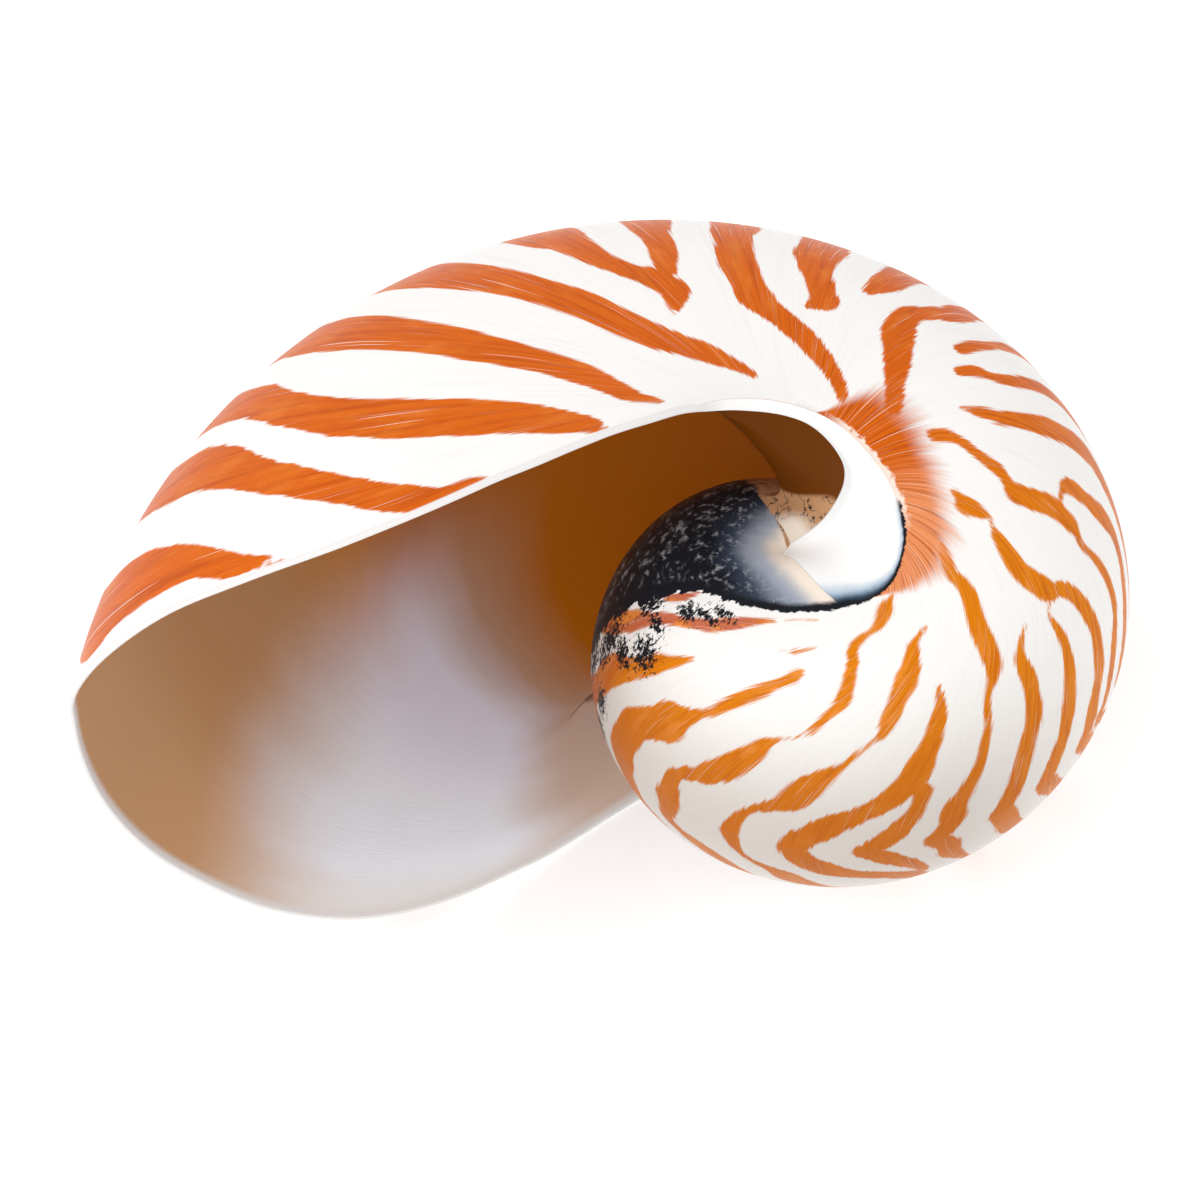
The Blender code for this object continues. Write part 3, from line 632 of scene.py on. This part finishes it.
def deep_side(time):
    """Near side of the ring at a time, where the chamber is plain."""
    roof_points, floor_points = roof(time), floor(time)
    return corner_curve(
        roof_points[0],
        roof_points[0] - roof_points[1],
        floor_points[0],
        floor_points[0] - floor_points[1],
        GROWTH_STEPS + 1,
    )


def pinned(side, first, last):
    """The side curve with its ends moved to the ring's corners."""
    u = np.linspace(0.0, 1.0, len(side))[:, None]
    return side + (1 - u) ** 3 * (first - side[0]) + u**3 * (last - side[-1])


def pad_edges():
    """Outer edge, inner edge and swell of the callus pad."""
    place = np.linspace(0.0, 1.0, GROWTH_STEPS + 1)
    angle = SEAM_FIRST + place * (SEAM_LAST - SEAM_FIRST)
    outer_edge = outer(angle, seam(angle))
    inner_edge = through(NOTCH_EDGE, place)
    along = np.gradient(outer_edge + inner_edge, axis=0)
    swell = unit(np.cross(along, inner_edge - outer_edge))
    return outer_edge, inner_edge, swell * through(PAD_SWELL, place)


def opening_rings():
    """(roof, near side, floor) of each ring round the lip's edge and over the pad."""
    outer_edge, inner_edge, swell = pad_edges()
    for turned in np.linspace(0.0, math.pi, PAD_STEPS + 1):
        across = 0.5 - 0.5 * math.cos(turned)
        side = outer_edge + (inner_edge - outer_edge) * across + swell * math.sin(turned)
        yield rim(turned), side, floor_rim(across)


def chamber_rings():
    """(roof, near side, floor) of each ring from the notch down to the septum."""
    _, inner_edge, swell = pad_edges()
    plain, before = deep_side(-PLAIN_FROM), deep_side(-PLAIN_FROM * (1 - ARRIVING_SHARE))
    leaving = (plain - inner_edge) * NOTCH_WAY - swell * NOTCH_DROP
    arriving = (plain - before) / ARRIVING_SHARE
    place = np.linspace(0.0, 1.0, CHAMBER_STEPS + 1)[1:]
    for time in -CHAMBER_DEPTH * (place + DEEP_RING_SPREAD * (place**2 - place)):
        u = -time / PLAIN_FROM
        side = deep_side(time) if u >= 1 else (
            inner_edge * (1 + 2 * u) * (1 - u) ** 2
            + plain * u * u * (3 - 2 * u)
            + leaving * u * (1 - u) ** 2
            - arriving * u * u * (1 - u)
        )
        yield roof(time), side, floor(time)


def half_rings():
    """Near half of each ring, from the roof's keel round the pad or the corner to the floor's keel."""
    halves = []
    for roof_points, side, floor_points in (*opening_rings(), *chamber_rings()):
        side = pinned(side, roof_points[0], floor_points[0])
        halves.append(np.concatenate([roof_points[::-1], side[1:-1], floor_points]))
    return halves


def whole(half):
    """A ring from its near half: the far half is its mirror image across the keel's plane."""
    return np.concatenate([half, half[-2:0:-1] * (1, 1, -1)])


def septum(half):
    """Rings that close the chamber, each nearer its middle and bowed away from the opening."""
    ring = whole(half)
    middle = (half[0] + half[-1]) / 2
    back = unit(np.cross(middle, (0.0, 0.0, 1.0)))
    rings = []
    for inward in np.linspace(0.0, 1.0, SEPTUM_STEPS + 2)[1:-1]:
        bow = SEPTUM_SAG * (1 - (1 - inward) ** 2)
        rings.append(middle + (ring - middle) * (1 - inward) + back * bow)
    return rings, middle + back * SEPTUM_SAG


def laid_down(points):
    """The coil frame scaled to metres and leant over to where the shell rests on its far flank."""
    lean = Matrix.Rotation(math.radians(REST_LEAN), 3, "X")
    roll = Matrix.Rotation(math.radians(REST_ROLL), 3, "Y")
    turn = Matrix.Rotation(math.radians(REST_TURN), 3, "Z")
    placed = points * KEEL_RADIUS @ np.array(turn @ roll @ lean).T
    low, high = placed.min(axis=0), placed.max(axis=0)
    return placed - (*((low + high) / 2)[:2], low[2])


def whole_line(line):
    """A whole growth line from its near half."""
    return np.concatenate([line, line[-2::-1] * (1, 1, -1)])


class Patch:
    """Vertices of one grid, row by row, with each one's kind, time, place and way round the side."""

    def __init__(self):
        self.rows = []
        self.facts = []

    def add(self, row, kind, time, place, turned):
        self.rows.append(row)
        facts = [np.broadcast_to(np.asarray(fact, float), len(row)) for fact in (kind, time, place, turned)]
        self.facts.append(np.stack(facts, -1))


def coat_patch():
    """The outside, a row for each growth line."""
    patch = Patch()
    place = np.concatenate([PLACES, PLACES[-2::-1]])
    for time in np.linspace(-360.0, 0.0, GROWTH_STEPS + 1):
        patch.add(whole_line(outer(*growth_line(time))), COAT, time, place, 0.0)
    return patch


def mirrored(half):
    """Values round a whole ring, from those of its near half."""
    return np.concatenate([half, half[-2:0:-1]])


def ring_patch():
    """The rings from the lip and the pad's outer edge down the chamber to the septum, and its middle."""
    patch = Patch()
    halves = half_rings()
    closing, apex = septum(halves[-1])
    round_side = np.linspace(0.0, 1.0, GROWTH_STEPS + 1)[1:-1]
    along = mirrored(np.concatenate([PLACES[::-1], round_side * 0, PLACES]))
    turned = mirrored(np.concatenate([PLACES * 0, round_side, PLACES * 0 + 1]))
    for i, ring in enumerate([whole(half) for half in halves] + closing):
        down = min(max(i - PAD_STEPS, 0) / CHAMBER_STEPS, 1.0)
        time = -CHAMBER_DEPTH * (down + DEEP_RING_SPREAD * (down**2 - down))
        side = PAD if i <= PAD_STEPS else SIDE
        kinds = mirrored(np.concatenate([PLACES * 0 + ROOF, round_side * 0 + side, PLACES * 0 + FLOOR]))
        patch.add(ring, kinds, time, along, turned)
    return patch, apex


def distances(points, line, half_widths=None):
    """Distance in mm of each point from a line through given points, less the line's half width."""
    start, step = line[:-1], line[1:] - line[:-1]
    length = np.maximum((step**2).sum(-1), 1e-18)
    half = np.zeros(len(line)) if half_widths is None else half_widths
    best = np.full(len(points), np.inf)
    for i in range(len(start)):
        along = np.clip((points - start[i]) @ step[i] / length[i], 0.0, 1.0)
        gap = np.linalg.norm(points - start[i] - along[:, None] * step[i], axis=-1)
        best = np.minimum(best, gap - (half[i] + (half[i + 1] - half[i]) * along))
    return best * KEEL_RADIUS * MM


def stripe_line(knots):
    """Centre line and half widths of a stripe, in keel radii."""
    knots = [(i, *knot) for i, knot in enumerate(knots)]
    place = np.linspace(0.0, len(knots) - 1.0, STRIPE_SMOOTH * (len(knots) - 1) + 1)
    angle, flank, width = through(knots, place).T
    flank = np.minimum(flank, 1.0)
    centre = outer(angle, flank)
    along = unit(np.gradient(centre, axis=0))
    degree = outer(angle + 0.5, flank) - outer(angle - 0.5, flank)
    slant = np.linalg.norm(np.cross(along, degree), axis=-1)
    return centre, np.maximum(width, THINNEST_STRIPE) * slant / 2


def stripe_distances(angle, flank):
    """Signed distance in mm from the nearest stripe's edge, negative inside the stripe."""
    points = outer(angle, flank)
    return np.min([distances(points, *stripe_line(knots)) for knots in STRIPES], axis=0)


def far_sway(angle, flank):
    """How far the far flank's markings stand from the near flank's mirror image, in degrees."""
    sway = 0.0
    for reach, turns, slant, start in FAR_SWAYS:
        sway = sway + reach * np.sin(np.radians(turns * angle + slant * flank + start))
    return sway * ease((1.0 - flank) / FAR_SWAY_FADE)


def film_line():
    """Near half of the line where the film ends: along the pad's edge, then the dorsal line to the keel."""
    angle = np.linspace(FILM_FROM, SEAM_LAST, LINE_STEPS)
    dorsal = outer(*growth_line(-360.0))
    return np.concatenate([outer(angle, seam(angle))[:-1], dorsal])


def crease_line():
    """The crease as points, from the pad's tip to the notch."""
    plan = np.array([crease(across) for across in np.linspace(0.0, 1.0, LINE_STEPS)])
    return outer(*on_floor(plan))


def flake_share(angle, flank):
    """How thickly flakes of the film lie on the coat, from 0 to 1."""
    share = np.zeros(len(angle))
    for spot_angle, spot_flank, angle_reach, flank_reach in FLAKE_SPOTS:
        away = ((angle - spot_angle) / angle_reach) ** 2 + ((flank - spot_flank) / flank_reach) ** 2
        share = np.maximum(share, np.exp(-away))
    return share


def coat_coordinates():
    """(angle, flank) of every vertex of the coat, row after row."""
    rows = []
    for time in np.linspace(-360.0, 0.0, GROWTH_STEPS + 1):
        line = np.stack(growth_line(time), -1)
        rows.append(np.concatenate([line, line[-2::-1]]))
    return np.concatenate(rows).T


def vertex_facts(points, facts):
    """Every value that the surface's nodes read, by name. Distances are in mm."""
    kind, time, place, turned = facts.T
    near = points * (1, 1, 0) + np.abs(points) * (0, 0, 1)
    on_coat, on_far = kind == COAT, points[:, 2] < 0
    angle, flank = on_floor(near[:, :2])
    angle[on_coat], flank[on_coat] = coat_coordinates()
    angle[(kind == PAD) & (angle < -360.0)] += 360.0
    swayed = angle + np.where(on_far, far_sway(angle, flank), 0.0)

    stripe = np.full(len(points), FAR_AWAY)
    stripe[on_coat] = stripe_distances(swayed[on_coat], flank[on_coat])
    seam_angle = np.linspace(SEAM_FIRST, SEAM_LAST, LINE_STEPS)
    from_seam = distances(near, outer(seam_angle, seam(seam_angle)))
    film = distances(near, film_line())
    overlap = FILM_OVERLAP * ease((FILM_OVERLAP_FROM - angle) / FILM_OVERLAP_TURN)
    return {
        "stripe": stripe,
        "film": np.where(on_coat, film - overlap, -film),
        "flakes": np.where(on_coat, flake_share(swayed, flank), 0.0),
        "crease": distances(near, crease_line()),
        "seam": from_seam,
        "navel": from_seam / np.maximum(through(NAVEL_REACH, angle)[:, 0], LEAST_REACH),
        "lip": distances(near, outer(*growth_line(0.0))),
        "angle": angle,
        "flank": flank,
        "time": time,
        "place": place,
        "turned": turned,
        "pad": kind == PAD,
        "floor": kind == FLOOR,
        "side": kind == SIDE,
        "lining": (kind == ROOF) | (kind == SIDE),
        "far": on_far,
    }


def grid_faces(first, rows, columns, closed):
    """Corner numbers of the faces over a grid of vertices."""
    across = columns if closed else columns - 1
    row, column = np.meshgrid(np.arange(rows - 1), np.arange(across), indexing="ij")
    after = (column + 1) % columns
    corners = (
        row * columns + column,
        row * columns + after,
        (row + 1) * columns + after,
        (row + 1) * columns + column,
    )
    return first + np.stack([corner.ravel() for corner in corners], -1)


def shell_piece():
    """The shell's mesh, with the surface's facts on its corners."""
    outside, (inside, apex) = coat_patch(), ring_patch()
    points = np.concatenate([*outside.rows, *inside.rows, apex[None]])
    facts = np.concatenate([*outside.facts, *inside.facts, inside.facts[-1][:1]])
    coat_columns, ring_columns = len(outside.rows[0]), len(inside.rows[0])
    first_ring = coat_columns * len(outside.rows)
    last_ring = first_ring + ring_columns * (len(inside.rows) - 1)
    ring = np.arange(ring_columns)
    cap = np.stack([last_ring + ring, last_ring + (ring + 1) % ring_columns, ring * 0 + len(points) - 1], -1)
    grids = [
        grid_faces(0, len(outside.rows), coat_columns, closed=False),
        grid_faces(first_ring, len(inside.rows), ring_columns, closed=True),
        cap,
    ]

    data = bpy.data.meshes.new("shell")
    data.from_pydata(laid_down(points).tolist(), [], [face for grid in grids for face in grid.tolist()])
    corners = np.concatenate([grid.ravel() for grid in grids])
    for name, values in vertex_facts(points, facts).items():
        attribute = data.attributes.new(name, "FLOAT", "CORNER")
        attribute.data.foreach_set("value", values[corners].astype(np.float32))
    mesh = bmesh.new()
    mesh.from_mesh(data)
    bmesh.ops.remove_doubles(mesh, verts=mesh.verts, dist=JOIN_DISTANCE)
    bmesh.ops.recalc_face_normals(mesh, faces=mesh.faces)
    mesh.to_mesh(data)
    mesh.free()
    data.shade_smooth()
    piece = bpy.data.objects.new("shell", data)
    bpy.context.scene.collection.objects.link(piece)
    return piece


class Nodes:
    """Short names for the shader nodes that a surface is made of."""

    def __init__(self, name):
        self.material = bpy.data.materials.new(name)
        self.material.use_nodes = True
        self.tree = self.material.node_tree
        self.surface = self.tree.nodes["Principled BSDF"]
        self.position = self.node("NewGeometry").outputs["Position"]

    def put(self, socket, value):
        if isinstance(value, bpy.types.NodeSocket):
            self.tree.links.new(value, socket)
        elif isinstance(value, tuple) and len(value) == 3 and len(socket.default_value) == 4:
            socket.default_value = (*value, 1.0)
        else:
            socket.default_value = value

    def node(self, kind, inputs=(), **settings):
        """A new shader node with its settings, and its inputs as (name or number, value)."""
        node = self.tree.nodes.new("ShaderNode" + kind)
        for name, value in settings.items():
            setattr(node, name, value)
        for name, value in inputs:
            self.put(node.inputs[name], value)
        return node

    def fact(self, name):
        return self.node("Attribute", attribute_name=name).outputs["Fac"]

    def math(self, operation, *values):
        return self.node("Math", enumerate(values), operation=operation).outputs[0]

    def product(self, first, *others):
        for other in others:
            first = self.math("MULTIPLY", first, other)
        return first

    def shifted(self, value, wave, reach):
        """The value moved up or down by noise, by up to half the reach each way."""
        return self.math("MULTIPLY_ADD", self.math("SUBTRACT", wave, 0.5), reach, value)

    def vector(self, *parts):
        return self.node("CombineXYZ", enumerate(parts)).outputs[0]

    def noise(self, vector, scale, detail, roughness):
        inputs = zip(("Vector", "Scale", "Detail", "Roughness"), (vector, scale, detail, roughness))
        return self.node("TexNoise", inputs).outputs["Fac"]

    def grain(self, kind):
        """Noise with no direction, from its (scale, detail, roughness)."""
        return self.noise(self.position, *kind)

    def drawn(self, waves, side=0.0):
        """Coordinates drawn out round the coil, from (waves per degree, waves across the flank)."""
        per_degree, across = waves
        round_coil = self.product(self.fact("angle"), per_degree)
        return self.vector(round_coil, self.product(self.fact("flank"), across), side)

    def step(self, value, low, high, start=0.0, end=1.0):
        """Smooth change from start, where the value is low, to end, where it is high."""
        names = ("Value", "From Min", "From Max", "To Min", "To Max")
        inputs = zip(names, (value, low, high, start, end))
        return self.node("MapRange", inputs, interpolation_type="SMOOTHSTEP").outputs["Result"]

    def between(self, value, first, full, last, end):
        """1 where the value lies from full to last, fading to 0 at first and at end."""
        return self.product(self.step(value, first, full), self.step(value, last, end, 1.0, 0.0))

    def mix(self, factor, first, second):
        node = self.node("Mix", [("Factor", factor)], data_type="RGBA")
        colours = [socket for socket in node.inputs if socket.type == "RGBA"]
        self.put(colours[0], first)
        self.put(colours[1], second)
        return next(socket for socket in node.outputs if socket.type == "RGBA")

    def ramp(self, value, stops):
        """Colour at a value, from (place, colour) stops."""
        node = self.node("ValToRGB", [("Fac", value)])
        while len(node.color_ramp.elements) < len(stops):
            node.color_ramp.elements.new(0.5)
        for element, (place, colour) in zip(node.color_ramp.elements, stops):
            element.position, element.color = place, (*colour, 1.0)
        return node.outputs["Color"]


def grown(n, across, along, seed, detail, roughness):
    """Noise drawn out along the growth lines, different on the far flank."""
    side = n.math("MULTIPLY_ADD", n.fact("far"), FAR_SEED, seed)
    where = n.vector(n.product(n.fact("time"), across), n.product(n.fact("place"), along), side)
    return n.noise(where, 1.0, detail, roughness)


def painted_shade_on_old_keel(n):
    """Painted shade on the keel of the older part, from 0 to 1: it darkens the lower coil's underside, which
    turns away from the light.
    """
    return n.product(n.step(n.fact("angle"), *PAINTED_SHADE_ANGLE), n.step(n.fact("flank"), *PAINTED_SHADE_FLANK))


def ground_colour(n, streak, broad):
    """White ground with faint grey growth lines, darkened by painted shade on the older part's keel."""
    lined = n.mix(n.step(streak, *GREY_LINES), WHITE_SHELL, GREY_SHELL)
    lined = n.mix(n.step(broad, *LINED_AREAS), WHITE_SHELL, lined)
    return n.mix(n.product(painted_shade_on_old_keel(n), PAINTED_SHADE_ON_GROUND), lined, PAINTED_SHADE_SHELL)


def stripe_colour(n, fine, streak):
    """Orange of the stripes: yellower on the older part, salmon by the film, streaked by the growth lines,
    and darkened by painted shade on the older part's keel.
    """
    angle = n.fact("angle")
    colour = n.mix(n.step(angle, *YOUNG_STRIPES), YELLOW_ORANGE, ORANGE)
    by_film = n.product(n.step(n.fact("film"), *SALMON_REACH), n.step(angle, *SALMON_ANGLE))
    colour = n.mix(by_film, colour, SALMON)
    colour = n.mix(n.step(streak, *DEEP_LINES), colour, DEEP_ORANGE)
    colour = n.mix(n.step(fine, *PALE_LINES), colour, PALE_ORANGE)
    worn = n.product(n.step(grown(n, *PATCHY), *WORN_PATCHES), n.step(angle, *WORN_ANGLE))
    colour = n.mix(worn, colour, PALE_ORANGE)
    return n.mix(n.product(painted_shade_on_old_keel(n), PAINTED_SHADE_ON_STRIPES), colour, PAINTED_SHADE_ORANGE)


def with_stripes(n, colour, fine, streak):
    edge = n.shifted(n.shifted(n.fact("stripe"), fine, STRIPE_RAGGED), streak, STRIPE_STREAKED)
    kept = n.step(grown(n, *SCRATCHED), *STRIPE_SCRATCHES)
    return n.mix(n.product(n.step(edge, *STRIPE_EDGE), kept), colour, stripe_colour(n, fine, streak))


def with_navel(n, colour):
    """Orange streaks that run out of the navel, and the pale crust along the pad's edge."""
    angle, reach = n.fact("angle"), n.fact("navel")
    streak, hair = grown(n, *NAVEL_STREAK), grown(n, *NAVEL_HAIR)
    spread = n.shifted(n.shifted(reach, grown(n, *NAVEL_BROAD), NAVEL_UNEVEN), streak, NAVEL_RAGGED)
    tint = n.mix(n.step(angle, *NAVEL_YOUNG), PEACH, ORANGE)
    tint = n.mix(n.step(streak, *NAVEL_DEEP), tint, DEEP_ORANGE)
    tint = n.mix(n.step(hair, *NAVEL_DARK), tint, DARK_HAIR)
    tint = n.mix(n.step(hair, *NAVEL_PALE), tint, PALE_PINK)
    colour = n.mix(n.product(n.step(spread, *NAVEL_EDGE), n.step(reach, *NAVEL_FADE)), colour, tint)
    crust_edge = n.shifted(n.fact("seam"), n.grain(CRUST_GRAIN), CRUST_RAGGED)
    crust = n.product(n.step(crust_edge, *CRUST_WIDTH), n.between(angle, *CRUST_ANGLES))
    return n.mix(crust, colour, PALE_PINK)


def film_colour(n):
    """The dark film: blue-black, mottled with blue-grey and scratched, cream where the pad runs out on it."""
    crease, mottle, speck = n.fact("crease"), n.grain(MOTTLE), n.grain(SPECK)
    scratch = n.noise(n.drawn(SCRATCH_WAVES), *SCRATCH_GRAIN)
    slate = n.step(n.shifted(crease, mottle, SLATE_MOTTLED), *SLATE_REACH)
    specks = n.product(n.step(speck, *SPECK_CUT), n.step(mottle, *SPECK_PATCH), SPECK_SHARE)
    scratches = n.product(n.step(scratch, *SCRATCH_CUT), n.step(speck, *SCRATCH_PATCH), SCRATCH_SHARE)
    dark = n.mix(n.product(slate, n.step(mottle, *SLATE_MOTTLE)), BLACK_FILM, SLATE)
    dark = n.mix(specks, dark, SCRATCH)
    dark = n.mix(scratches, dark, SCRATCH)
    dark = n.mix(n.step(n.shifted(crease, mottle, GREY_MOTTLED), *GREY_REACH), GREY_FILM, dark)
    return n.mix(n.step(n.shifted(crease, mottle, CREAM_MOTTLED), *CREAM_REACH), CREAM, dark)


def with_film(n, colour):
    """The film over the earlier whorl, and the flakes past its edge."""
    angle, area = n.fact("angle"), n.fact("flakes")
    drawn = n.drawn(FLAKE_WAVES, n.product(n.fact("far"), FAR_SEED))
    bare = n.math("MULTIPLY_ADD", area, -FLAKE_GAIN, FLAKE_BARE)
    over = n.math("SUBTRACT", n.noise(drawn, *FLAKE_GRAIN), bare)
    flakes = n.product(n.step(over, *FLAKE_CUT), n.step(area, *FLAKE_AREA))
    edge = n.shifted(n.fact("film"), n.grain(RAGGED), FILM_RAGGED)
    edge = n.shifted(edge, n.noise(drawn, *LONG_FLAKE_GRAIN), n.step(angle, *TORN))
    solid = n.product(n.step(edge, *FILM_EDGE), n.step(angle, *FILM_END))
    return n.mix(n.math("MAXIMUM", solid, flakes), colour, BLACK_FILM)


def wrinkle_lines(n):
    """Thin dark wrinkled lines, in places."""
    patches = n.step(n.grain(WRINKLED_PATCH), *WRINKLE_PLACES)
    return n.product(n.between(n.grain(WRINKLE), *WRINKLE_LINE), patches)


def floor_colour(n):
    """Earlier whorl inside the opening: film with a black rim, then bare tan with dark wrinkles."""
    angle, worn = n.fact("angle"), n.grain(WORN_EDGE)
    bare = n.mix(wrinkle_lines(n), TAN_FLOOR, BLACK_FILM)
    bare = n.mix(n.step(angle, *FLOOR_BROWN), BROWN, bare)
    rim_share = n.step(n.shifted(n.fact("film"), worn, FLOOR_RIM_RAGGED), *FLOOR_RIM)
    film = n.mix(rim_share, film_colour(n), BLACK_FILM)
    return n.mix(n.step(n.shifted(angle, worn, FLOOR_FILM_RAGGED), *FLOOR_FILM), bare, film)


def pad_colour(n):
    """White callus, blue then black along the edge that the film follows, and greyer by the lip."""
    angle = n.fact("angle")
    inward = n.shifted(n.math("MULTIPLY", n.fact("film"), -1.0), n.grain(PAD_BLUR), PAD_BLURRED)
    share = n.math("DIVIDE", inward, n.step(angle, *PAD_FADE))
    colour = n.mix(n.step(share, *PAD_WHITE), BLUE_PAD, WHITE_PAD)
    colour = n.mix(n.step(share, *PAD_BLUE), NAVY, colour)
    colour = n.mix(n.step(inward, *PAD_BLACK), BLACK_FILM, colour)
    colour = n.mix(n.step(angle, *PAD_CLEAN), colour, WHITE_PAD)
    return n.mix(n.step(n.fact("lip"), *PAD_LIP), colour, RIM_WHITE)


def lining_colour(n):
    """Pearly lining: tan by the lip's keel, lilac-white down the flank, brown in the depth, and the near side
    wall dark brown with painted shade.
    """
    cloud, turned = grown(n, *CLOUD), n.fact("turned")
    time = n.shifted(n.shifted(n.fact("time"), cloud, CLOUDED_TIME), grown(n, *LINING_HAIR), HAIRY_TIME)
    place = n.shifted(n.fact("place"), cloud, CLOUDED_PLACE)
    depth = n.math("DIVIDE", time, -CHAMBER_DEPTH)
    colour = n.mix(n.step(place, *PEARL_FROM), n.ramp(depth, LOW_DEPTHS), n.ramp(depth, FLANK_DEPTHS))
    colour = n.mix(n.step(place, *KEEL_FROM), colour, n.ramp(depth, KEEL_DEPTHS))

    notch = n.mix(wrinkle_lines(n), TAN_FLOOR, BLACK_FILM)
    notch = n.mix(n.product(n.step(turned, *CREAM_TURNED), n.step(depth, *CREAM_DEPTH)), notch, CREAM)
    in_notch = n.product(n.step(turned, *NOTCH_TURNED), n.step(depth, *NOTCH_REACH))
    # Painted shade: the near side wall, and not the far one, takes the dark shaded ramp
    painted_shade_side = n.product(n.fact("side"), n.math("SUBTRACT", 1.0, n.fact("far")))
    colour = n.mix(painted_shade_side, colour, n.mix(in_notch, n.ramp(depth, SHADED_SIDE_DEPTHS), notch))
    edge = n.math("MAXIMUM", n.step(n.fact("lip"), *LINING_EDGE), n.step(n.fact("time"), *LINING_START))
    return n.mix(edge, colour, RIM_WHITE)


def shell_surface():
    n = Nodes("shell_surface")
    fine, streak = grown(n, *FINE), grown(n, *STREAK)
    colour = with_stripes(n, ground_colour(n, streak, grown(n, *BROAD)), fine, streak)
    colour = with_navel(n, colour)
    colour = with_film(n, colour)
    colour = n.mix(n.step(n.fact("lip"), *LIP_BAND), colour, RIM_WHITE)
    colour = n.mix(n.fact("lining"), colour, lining_colour(n))
    colour = n.mix(n.fact("floor"), colour, floor_colour(n))
    colour = n.mix(n.fact("pad"), colour, pad_colour(n))

    n.put(n.surface.inputs["Base Color"], colour)
    n.put(n.surface.inputs["Roughness"], n.step(fine, *GLOSS))
    n.put(n.surface.inputs["Specular IOR Level"], SATIN)
    bump = n.node("Bump", [("Distance", BUMP_HEIGHT), ("Strength", BUMP_STRENGTH), ("Height", fine)])
    n.put(n.surface.inputs["Normal"], bump.outputs["Normal"])
    return n.material


def floor_piece():
    mesh = bmesh.new()
    bmesh.ops.create_grid(mesh, x_segments=1, y_segments=1, size=FLOOR_REACH)
    data = bpy.data.meshes.new("floor")
    mesh.to_mesh(data)
    mesh.free()
    floor = bpy.data.objects.new("floor", data)
    bpy.context.scene.collection.objects.link(floor)
    n = Nodes("floor_surface")
    n.put(n.surface.inputs["Base Color"], FLOOR_WHITE)
    n.put(n.surface.inputs["Roughness"], FLOOR_ROUGHNESS)
    n.put(n.surface.inputs["Emission Color"], FLOOR_LIGHT)
    n.put(n.surface.inputs["Emission Strength"], FLOOR_GLOW)
    data.materials.append(n.material)


def area_light(name, place, size, power):
    """A round light that shines at the shell."""
    light = bpy.data.lights.new(name, "AREA")
    light.shape, light.size, light.energy = "DISK", size, power
    lamp = bpy.data.objects.new(name, light)
    lamp.location = place
    lamp.rotation_euler = (Vector(place) - Vector(LIT_POINT)).to_track_quat("Z", "Y").to_euler()
    bpy.context.scene.collection.objects.link(lamp)


def lights():
    world = bpy.data.worlds.new("studio")
    world.use_nodes = True
    world.node_tree.nodes["Background"].inputs["Color"].default_value = (1.0, 1.0, 1.0, 1.0)
    world.node_tree.nodes["Background"].inputs["Strength"].default_value = WORLD_STRENGTH
    bpy.context.scene.world = world
    area_light("key", KEY_PLACE, KEY_SIZE, KEY_POWER)
    area_light("fill", FILL_PLACE, FILL_SIZE, FILL_POWER)


def camera():
    data = bpy.data.cameras.new("camera")
    data.sensor_width, data.lens = CAMERA_SENSOR, CAMERA_LENS
    data.clip_start = CAMERA_NEAR
    viewer = bpy.data.objects.new("camera", data)
    viewer.location = CAMERA_PLACE
    viewer.rotation_euler = Euler([math.radians(turn) for turn in CAMERA_TURN])
    bpy.context.scene.collection.objects.link(viewer)
    bpy.context.scene.camera = viewer


def main():
    shell = shell_piece()
    shell.data.materials.append(shell_surface())
    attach(shell, "root")
    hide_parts("nautilus_shell")
    floor_piece()
    lights()
    camera()
    bpy.context.scene.view_settings.view_transform = "Standard"


main()
